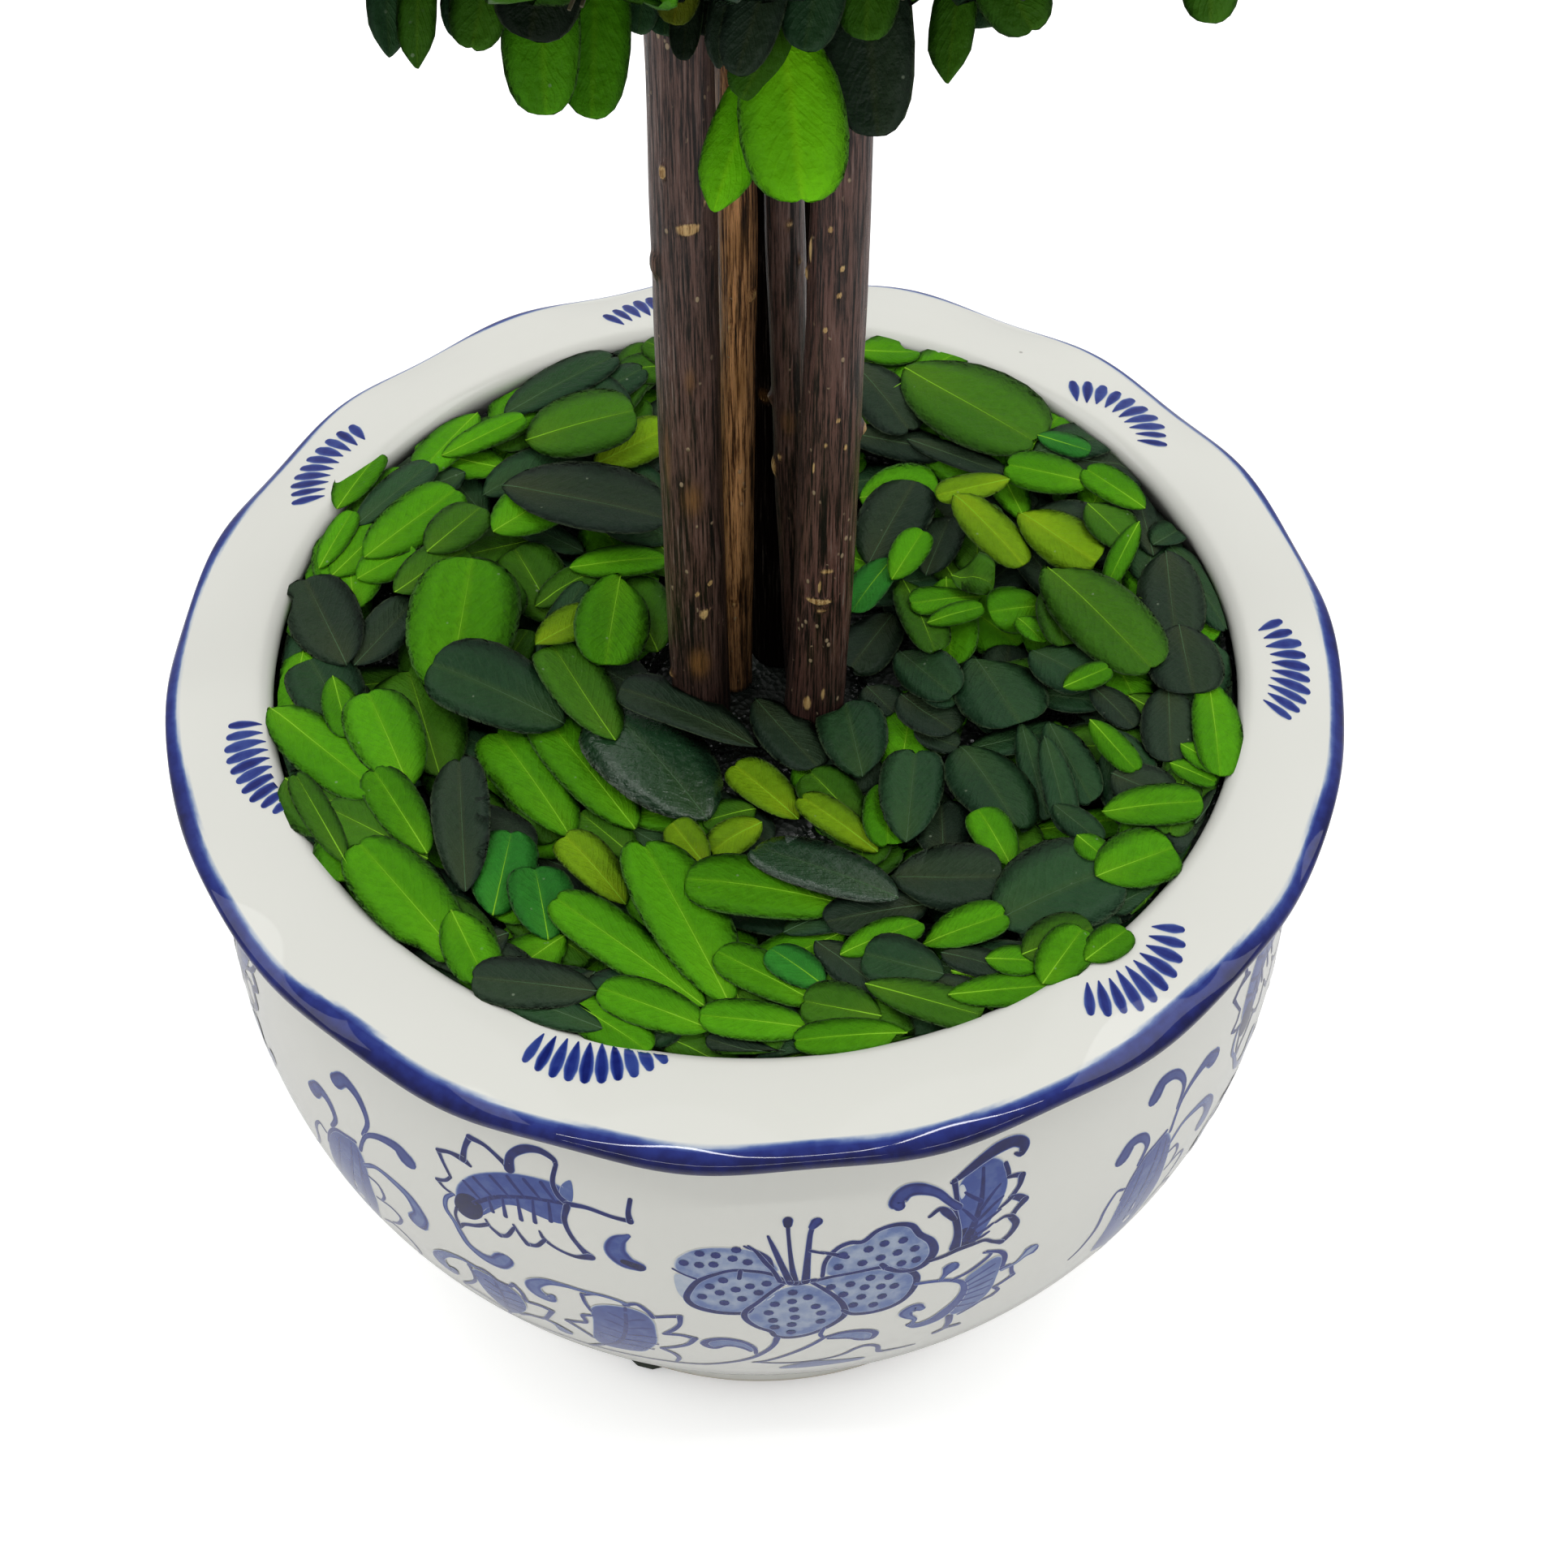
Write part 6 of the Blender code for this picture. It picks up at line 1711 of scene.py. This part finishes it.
draw = random.Random(21)
piles = {shade: LeafPile() for shade in SHADES}
ribs = {"pale": RibPile(), "dark": RibPile()}
laid = [*scattered(FILLER_LEAVES, draw, 24, 74), *scattered(EDGE_LEAVES, draw, 71, 80)]
fillers = len(laid)
laid += BED_LEAVES
for index, (x0, y0, x1, y1, width, letter, *raised) in enumerate(laid):
    root, tip = 0.001 * np.array((x0, y0)), 0.001 * np.array((x1, y1))
    longer = 0.5 * (LENGTH_GAIN - 1.0) * (tip - root)
    root, tip = root - longer, tip + longer
    bend = FILLER_BEND if index < fillers else 1.0
    flat = leaf_shape(np.linalg.norm(tip - root), 0.001 * width * WIDTH_GAIN, draw, bend)
    leaf = settle(root, tip, flat, sum(raised))
    if index >= fillers:
        root_z, tip_z = pressed(leaf)[[ROOT_CORNER, TIP_CORNER], 2]
        leaf = settle(at_height(root, root_z), at_height(tip, tip_z), flat, sum(raised))
    press_in(leaf)
    leaf = pressed(leaf)
    piles[LETTERS[letter]].add(FINE_LEAF, shell_corners(FINE_LEAF, leaf), draw.uniform(0.1, 0.9))
    kind = "dark" if letter in "KDS" else "pale"
    ribs[kind].add(rib_along(leaf, RIB_WIDTHS[kind]))
for shade, pile in piles.items():
    if pile.leaves:
        pile.piece("bed_leaves_" + shade, leaf_finishes[shade], "bed_leaves", "leaf_bed")
for kind, pile in ribs.items():
    rib_mesh = mesh_from_arrays("bed_ribs_" + kind, np.vstack(pile.corners), pile.faces)
    add_mesh("bed_ribs_" + kind, rib_mesh, rib_finishes[kind], ["leaf_bed"])
highest = 1000 * max(corners[:, 2].max() for pile in piles.values() for corners in pile.corners)
print("bed leaves:", sum(pile.leaves for pile in piles.values()), "highest in mm:", round(highest, 1))

# %% [markdown]
# The ball is built the way the real one is: short sprigs stuck into a hidden ball of moss,
# evenly all round. The even places come from a golden angle spiral, with a small seeded
# nudge. The sprigs and their four leaves follow the model's own rule, number by number, so
# they stand where the model's solids stand. Each sprig then forks into finer twigs, and
# every twig carries leaves in pairs with one at its end, all within the model's reach.

# %% Ball of leaves
BALL_CENTRE = Vector((0.0, 0.0, 0.388))
BALL_CORE_RADIUS = 0.086
BALL_SPRIGS = 88
LEAVES_PER_SPRIG = 4
SPRIG_NUDGE = 0.12
BALL_REACH = 0.1065
REACH_SPREAD = 0.003
LEAF_LENGTH = 0.0235
LEAF_WIDTH = 0.0135
LEAF_OFFSET = 0.0035
SINK = 0.005
FINE_REACH = 0.1025
UNDERSIDE = -0.45
CORE_SHRINK = 0.004
SPRIG_RADIUS = 0.0008
TWIG_RADIUS = 0.00045
FORKS = 9
FORK_TURN = 2.39996
FORK_SPREAD = 0.25
# Pairs of leaves along a twig and then the one at its end: how far along, and splay in degrees.
TWIG_LEAVES = ((0.15, 72), (0.50, 60), (0.85, 45), (1.0, 22))
SMALLER = 0.78
# The least and the most notch, cup, fold and curl of the sprigs' own leaves and of small leaves.
SPRIG_BENDS = ((0, 0.06), (-0.15, 0.1), (0.05, 0.25), (-0.05, 0.12))
SMALL_BENDS = ((0, 0.1), (-0.2, 0.2), (0.05, 0.3), (-0.1, 0.3))
# The colour of a small leaf goes by a drawn number that rises with its distance from the core and drops on
# the ball's underside, so that deep and low leaves are darker: painted shade.
SHADE_LIMITS = ((0.22, "black"), (0.50, "deep"), (0.88, "mid"), (1.10, "fresh"), (math.inf, "lime"))
# How far down the picture the ball's leaves may hang, as pixels (across, down).
FRINGE_LIMIT = ((0, -20), (555, -20), (562, 12), (1112, 14), (1120, -20), (1152, -20), (1160, 12),
                (1260, 12), (1270, -25), (1932, -25))
BALL_END_PIXEL = 700


def sprig_directions(count, draw):
    """Evenly spread directions on a golden spiral, each a little off its place."""
    golden = math.pi * (3.0 - math.sqrt(5.0))
    for index in range(count):
        z = 1.0 - 2.0 * (index + 0.5) / count
        ring = math.sqrt(1.0 - z * z)
        turn = golden * index
        nudge = Vector([draw.uniform(-SPRIG_NUDGE, SPRIG_NUDGE) for _ in range(3)])
        yield (Vector((ring * math.cos(turn), ring * math.sin(turn), z)) + nudge).normalized()


def length_to_reach(root, direction, reach):
    """How long a leaf must be for its tip to lie at a distance from the middle of the ball."""
    from_middle = root - BALL_CENTRE
    along = from_middle.dot(direction)
    return math.sqrt(along * along - from_middle.length_squared + reach * reach) - along


def near_sticks(leaf):
    """True where a leaf of the lower half would touch the bundle of sticks."""
    away = np.hypot(leaf[:, 0] - TRUNK_CENTRE.x, leaf[:, 1] - TRUNK_CENTRE.y)
    return away.min() < TRUNK_HOLE_RADIUS and leaf[:, 2].min() < BALL_CENTRE.z


def hangs_too_low(points):
    """True where a leaf would show below the fringe that the picture has."""
    for point in points:
        across, down = pixel_of(point)
        if 0 < down < BALL_END_PIXEL and down > np.interp(across, *zip(*FRINGE_LIMIT)):
            return True
    return False


def splayed(axis, outward, splay):
    """The direction of a leaf that leans off an axis, and the way its upper side faces."""
    return (axis * math.cos(splay) + outward * math.sin(splay),
            axis * math.sin(splay) - outward * math.cos(splay))


def reach_of(leaf):
    """How far a leaf stands from the middle of the ball."""
    return np.linalg.norm(leaf - np.array(BALL_CENTRE), axis=1).max()


def stands_clear(leaf, limit):
    """True where a leaf keeps inside the reach, off the sticks and above the fringe."""
    if reach_of(leaf) > limit or near_sticks(leaf):
        return False
    front = leaf[:, 1].min() < 0.0 and leaf[:, 2].min() < BALL_CENTRE.z
    return not (front and hangs_too_low(leaf[::4].tolist()))


def bent_leaf(kind, length, width, bends):
    """A leaf with seeded bends."""
    notch, cup, fold, curl = (finer_draw.uniform(*limits) for limits in bends)
    return leaf_grid(kind, length, width, notch=notch, cup=cup, fold=fold, curl=curl)


def add_to_ball(kind, leaf, shade):
    ball_piles[shade].add(kind, shell_corners(kind, leaf), finer_draw.uniform(0.1, 0.9))


def sprig_leaves(axis, side, spin, underside):
    """The leaves that the model's sprig has, by the model's own rule."""
    for index in range(LEAVES_PER_SPRIG):
        outward = Matrix.Rotation(spin + index * math.tau / LEAVES_PER_SPRIG, 3, axis) @ side
        steep = index % 2 == 1
        splay = math.radians(ball_draw.uniform(24, 40) if steep else ball_draw.uniform(48, 62))
        direction, facing = splayed(axis, outward, splay)
        root = BALL_CENTRE + axis * (BALL_CORE_RADIUS - SINK) + outward * LEAF_OFFSET
        if steep:
            reach = BALL_REACH - ball_draw.uniform(0.0, REACH_SPREAD)
            length = length_to_reach(root, direction, reach - 0.0003)
        else:
            length = LEAF_LENGTH * ball_draw.uniform(0.95, 1.18)
        points = bent_leaf(FINE_LEAF, length, LEAF_WIDTH / LEAF_LENGTH * length, SPRIG_BENDS)
        leaf = placed(points, root, direction, facing)
        if stands_clear(leaf, BALL_REACH):
            # Leaves on the underside of the ball get darker shades: painted shade.
            shades = "black deep deep mid" if underside else "black deep mid mid fresh fresh"
            add_to_ball(FINE_LEAF, leaf, finer_draw.choice(shades.split()))


def twig_leaves(start, end, underside):
    """Small leaves along a twig in pairs and one at its end: how many of them fit."""
    axis = (end - start).normalized()
    out = axis.orthogonal().normalized()
    over = axis.cross(out)
    spin = finer_draw.uniform(0, math.tau)
    grown = 0
    for pair, (share, lean) in enumerate(TWIG_LEAVES):
        splay = math.radians(lean + finer_draw.uniform(-8, 8))
        for half in ((0, 1) if share < 1.0 else (0,)):
            at = spin + pair * 0.5 * math.pi + half * math.pi
            outward = out * math.cos(at) + over * math.sin(at)
            direction, facing = splayed(axis, outward, splay)
            root = start.lerp(end, share) + outward * 0.0004
            length = finer_draw.uniform(0.0125, 0.0185)
            points = bent_leaf(SMALL_LEAF, length, length * finer_draw.uniform(0.52, 0.66), SMALL_BENDS)
            leaf = placed(points, root, direction, facing)
            if reach_of(leaf) > FINE_REACH:
                leaf = placed(points * SMALLER, root, direction, facing)
            if stands_clear(leaf, FINE_REACH):
                # Leaves deep in the ball and on its underside get darker shades: painted shade.
                depth = np.linalg.norm(leaf.mean(axis=0) - np.array(BALL_CENTRE))
                lit = (depth - 0.090) / 0.014 - (1.0 if underside else 0.0)
                pick = finer_draw.random() + 0.35 * lit
                add_to_ball(SMALL_LEAF, leaf, next(shade for limit, shade in SHADE_LIMITS if pick < limit))
                grown += 1
    return grown


ball_piles = {shade: LeafPile() for shade in SHADES}
twigs = []
ball_draw = random.Random(5)
finer_draw = random.Random(8)
for axis in sprig_directions(BALL_SPRIGS, ball_draw):
    sprig_foot = BALL_CENTRE + axis * (BALL_CORE_RADIUS - SINK - CORE_SHRINK)
    sprig_tip = BALL_CENTRE + axis * (BALL_CORE_RADIUS + ball_draw.uniform(0.010, 0.016))
    side = axis.orthogonal().normalized()
    spin = ball_draw.uniform(0, math.tau)
    up = axis.cross(side)
    underside = axis.z < UNDERSIDE
    if not hangs_too_low([sprig_tip]):
        twigs.append((sprig_foot, sprig_tip, SPRIG_RADIUS))
    sprig_leaves(axis, side, spin, underside)
    for fork in range(FORKS):
        turn = spin + fork * FORK_TURN
        spread = 0.0 if fork == 0 else FORK_SPREAD * math.sqrt((fork + 0.4) / FORKS)
        aim = (axis + (side * math.cos(turn) + up * math.sin(turn)) * spread).normalized()
        start = BALL_CENTRE + axis.lerp(aim, 0.75).normalized() * (BALL_CORE_RADIUS - CORE_SHRINK)
        end = BALL_CENTRE + aim * (BALL_CORE_RADIUS + finer_draw.uniform(0.006, 0.012))
        if twig_leaves(start, end, underside) and not hangs_too_low([end]):
            twigs.append((start, end, TWIG_RADIUS))
print("leaves on the ball:", sum(pile.leaves for pile in ball_piles.values()))

# %% [markdown]
# The leaves at the lower front of the ball hang into the picture, so each of these has its
# own place there. A sight line through a leaf's tip passes the ball, and the tip lies near
# where that line comes nearest to the ball's middle, some millimetres before or behind.

# %% Fringe of the ball
# Each leaf: root across and down, tip across and down and width in pixels of the picture, how
# far behind in mm, roll in degrees, shade, fold, notch and how pointed it is.
FRINGE_LEAVES = (
    (470, -90, 481, 68, 60, 1, -25, "deep", 0.25, 0.0, 0.55),
    (520, -90, 511, 82, 54, 0, 25, "mid", 0.25, 0.0, 0.7),
    (612, -80, 580, 59, 76, 2, 10, "mid", 0.20, 0.02, 0.0),
    (590, -90, 560, 44, 60, 4, -20, "deep", 0.20, 0.0, 0.3),
    (668, -105, 669, 139, 106, 1, 22, "fresh", 0.26, 0.0, 0.0),
    (735, -110, 730, 143, 94, 3, -12, "fresh", 0.18, 0.0, 0.0),
    (690, -140, 652, 46, 116, -6, 0, "night", 0.05, 0.0, 0.0),
    (760, -120, 745, 20, 70, 6, 0, "mid", 0.10, 0.0, 0.0),
    (800, -60, 786, 40, 46, 5, 0, "deep", 0.10, 0.0, 0.0),
    (825, -60, 818, 42, 52, 6, 0, "deep", 0.10, 0.0, 0.0),
    (856, -70, 840, 72, 44, 2, 20, "night", 0.20, 0.0, 0.1),
    (850, -120, 830, 28, 62, -3, 0, "olive", 0.10, 0.0, 0.0),
    (905, -70, 882, 82, 48, 1, 35, "black", 0.20, 0.0, 0.6),
    (880, -90, 868, 42, 60, 5, 0, "night", 0.10, 0.0, 0.0),
    (962, -80, 906, 90, 74, -7, 10, "black", 0.30, 0.0, 0.1),
    (972, 10, 914, 120, 70, -5, 0, "mid", 0.10, 0.0, 0.0),
    (944, 60, 878, 258, 74, 0, 10, "bright", 0.12, 0.0, 0.60),
    (962, 20, 989, 247, 138, -4, -8, "bright", 0.06, 0.02, 0.0),
    (960, -80, 940, 50, 80, 4, 0, "night", 0.10, 0.0, 0.0),
    (1025, -110, 990, 60, 80, -6, 0, "deep", 0.20, 0.0, 0.0),
    (1025, -110, 1000, 98, 66, 3, 0, "night", 0.20, 0.0, 0.0),
    (1045, -130, 1030, 60, 90, 5, 0, "deep", 0.20, 0.0, 0.0),
    (1062, -135, 1078, 165, 118, 1, 14, "black", 0.32, 0.0, 0.0),
    (1075, -110, 1066, 47, 82, -4, 0, "mid", 0.12, 0.0, 0.0),
    (1192, -80, 1164, 100, 62, 1, 25, "mid", 0.25, 0.0, 0.75),
    (1200, -100, 1272, 38, 92, -2, 0, "mid", 0.12, 0.02, 0.0),
    (1180, -120, 1215, 32, 84, 2, 0, "deep", 0.12, 0.0, 0.0),
    (1492, -140, 1491, 26, 78, 0, 0, "mid", 0.10, 0.0, 0.0),
)


def fringe_spot(across, down, deeper):
    """The point of a sight line nearest to the ball's middle, or some millimetres behind it."""
    ray = sight_line(across, down).normalized()
    return CAMERA_PLACE + ray * ((BALL_CENTRE - CAMERA_PLACE).dot(ray) + 0.001 * deeper)


ROOT_BEHIND = 0.002
for x0, y0, x1, y1, wide, deeper, roll, shade, fold, notch, point in FRINGE_LEAVES:
    tip = fringe_spot(x1, y1, deeper)
    depth = (tip - CAMERA_PLACE).dot(FORWARD)
    root = CAMERA_PLACE + sight_line(x0, y0) * (depth + ROOT_BEHIND)
    width = wide * depth / FOCAL_PIXELS
    to_camera = (CAMERA_PLACE - tip).normalized()
    facing = Matrix.Rotation(math.radians(roll), 3, (tip - root).normalized()) @ to_camera
    points = leaf_grid(FINE_LEAF, (tip - root).length, width, notch=notch, cup=-0.10, fold=fold,
                       curl=0.10, twist=0.05, point=point)
    leaf = placed(points, root, tip - root, facing)
    ball_piles[shade].add(FINE_LEAF, shell_corners(FINE_LEAF, leaf), finer_draw.uniform(0.3, 0.9))
for shade, pile in ball_piles.items():
    if pile.leaves:
        pile.piece("ball_leaves_" + shade, leaf_finishes[shade], "ball_leaves", "leaf_ball")

# %% Twigs and core of the ball
TWIG_SIDES = 4
TWIG_TAPER = 0.55
twig_finish = Finish("twig_bark", {"Base Color": (0.05, 0.035, 0.018), "Roughness": 0.7})
twig_grain = twig_finish.grain(1200, 3.0, (1, 1, 0.3))
twig_finish.set("Base Color", twig_finish.blend(twig_grain, (0.028, 0.020, 0.010), (0.095, 0.085, 0.035)))
ring = np.arange(TWIG_SIDES) * math.tau / TWIG_SIDES
twig_corners, twig_faces = [], []
for start, end, radius in twigs:
    along = (end - start).normalized()
    out = along.orthogonal().normalized()
    over = along.cross(out)
    base = len(twig_corners)
    for centre, size in ((start, radius), (end, TWIG_TAPER * radius)):
        for turn in ring:
            twig_corners.append(centre + (out * math.cos(turn) + over * math.sin(turn)) * size)
    foot = range(base, base + TWIG_SIDES)
    tip = range(base + TWIG_SIDES, base + 2 * TWIG_SIDES)
    for k in range(TWIG_SIDES):
        after = (k + 1) % TWIG_SIDES
        twig_faces.append((foot[k], foot[after], tip[after], tip[k]))
    twig_faces += [tuple(reversed(foot)), tuple(tip)]
add_mesh("ball_twigs", mesh_from_arrays("ball_twigs", twig_corners, twig_faces), twig_finish,
         ["leaf_ball"], 40)

moss = Finish("dark_moss", {"Base Color": (0.010, 0.018, 0.008), "Roughness": 0.95})
moss_grain = moss.grain(500, 4.0)
moss.set("Base Color", moss.blend(moss_grain, (0.004, 0.007, 0.003), (0.022, 0.036, 0.012)))
moss.relief(moss_grain, 0.001, 0.8)
shape = bmesh.new()
bmesh.ops.create_icosphere(shape, subdivisions=6, radius=BALL_CORE_RADIUS - CORE_SHRINK)
for corner in shape.verts:
    corner.co *= 1.0 + 0.012 * noise.fractal(corner.co * 70.0, 1.0, 2.0, 3)
    corner.co += BALL_CENTRE
    across = Vector((corner.co.x - TRUNK_CENTRE.x, corner.co.y - TRUNK_CENTRE.y))
    if corner.co.z < BALL_CENTRE.z and across.length < TRUNK_HOLE_RADIUS:
        corner.co.z = max(corner.co.z, STICK_TOP_Z + GAP)
add_mesh("moss_core", mesh_from_bmesh("moss_core", shape), moss, ["leaf_ball"])
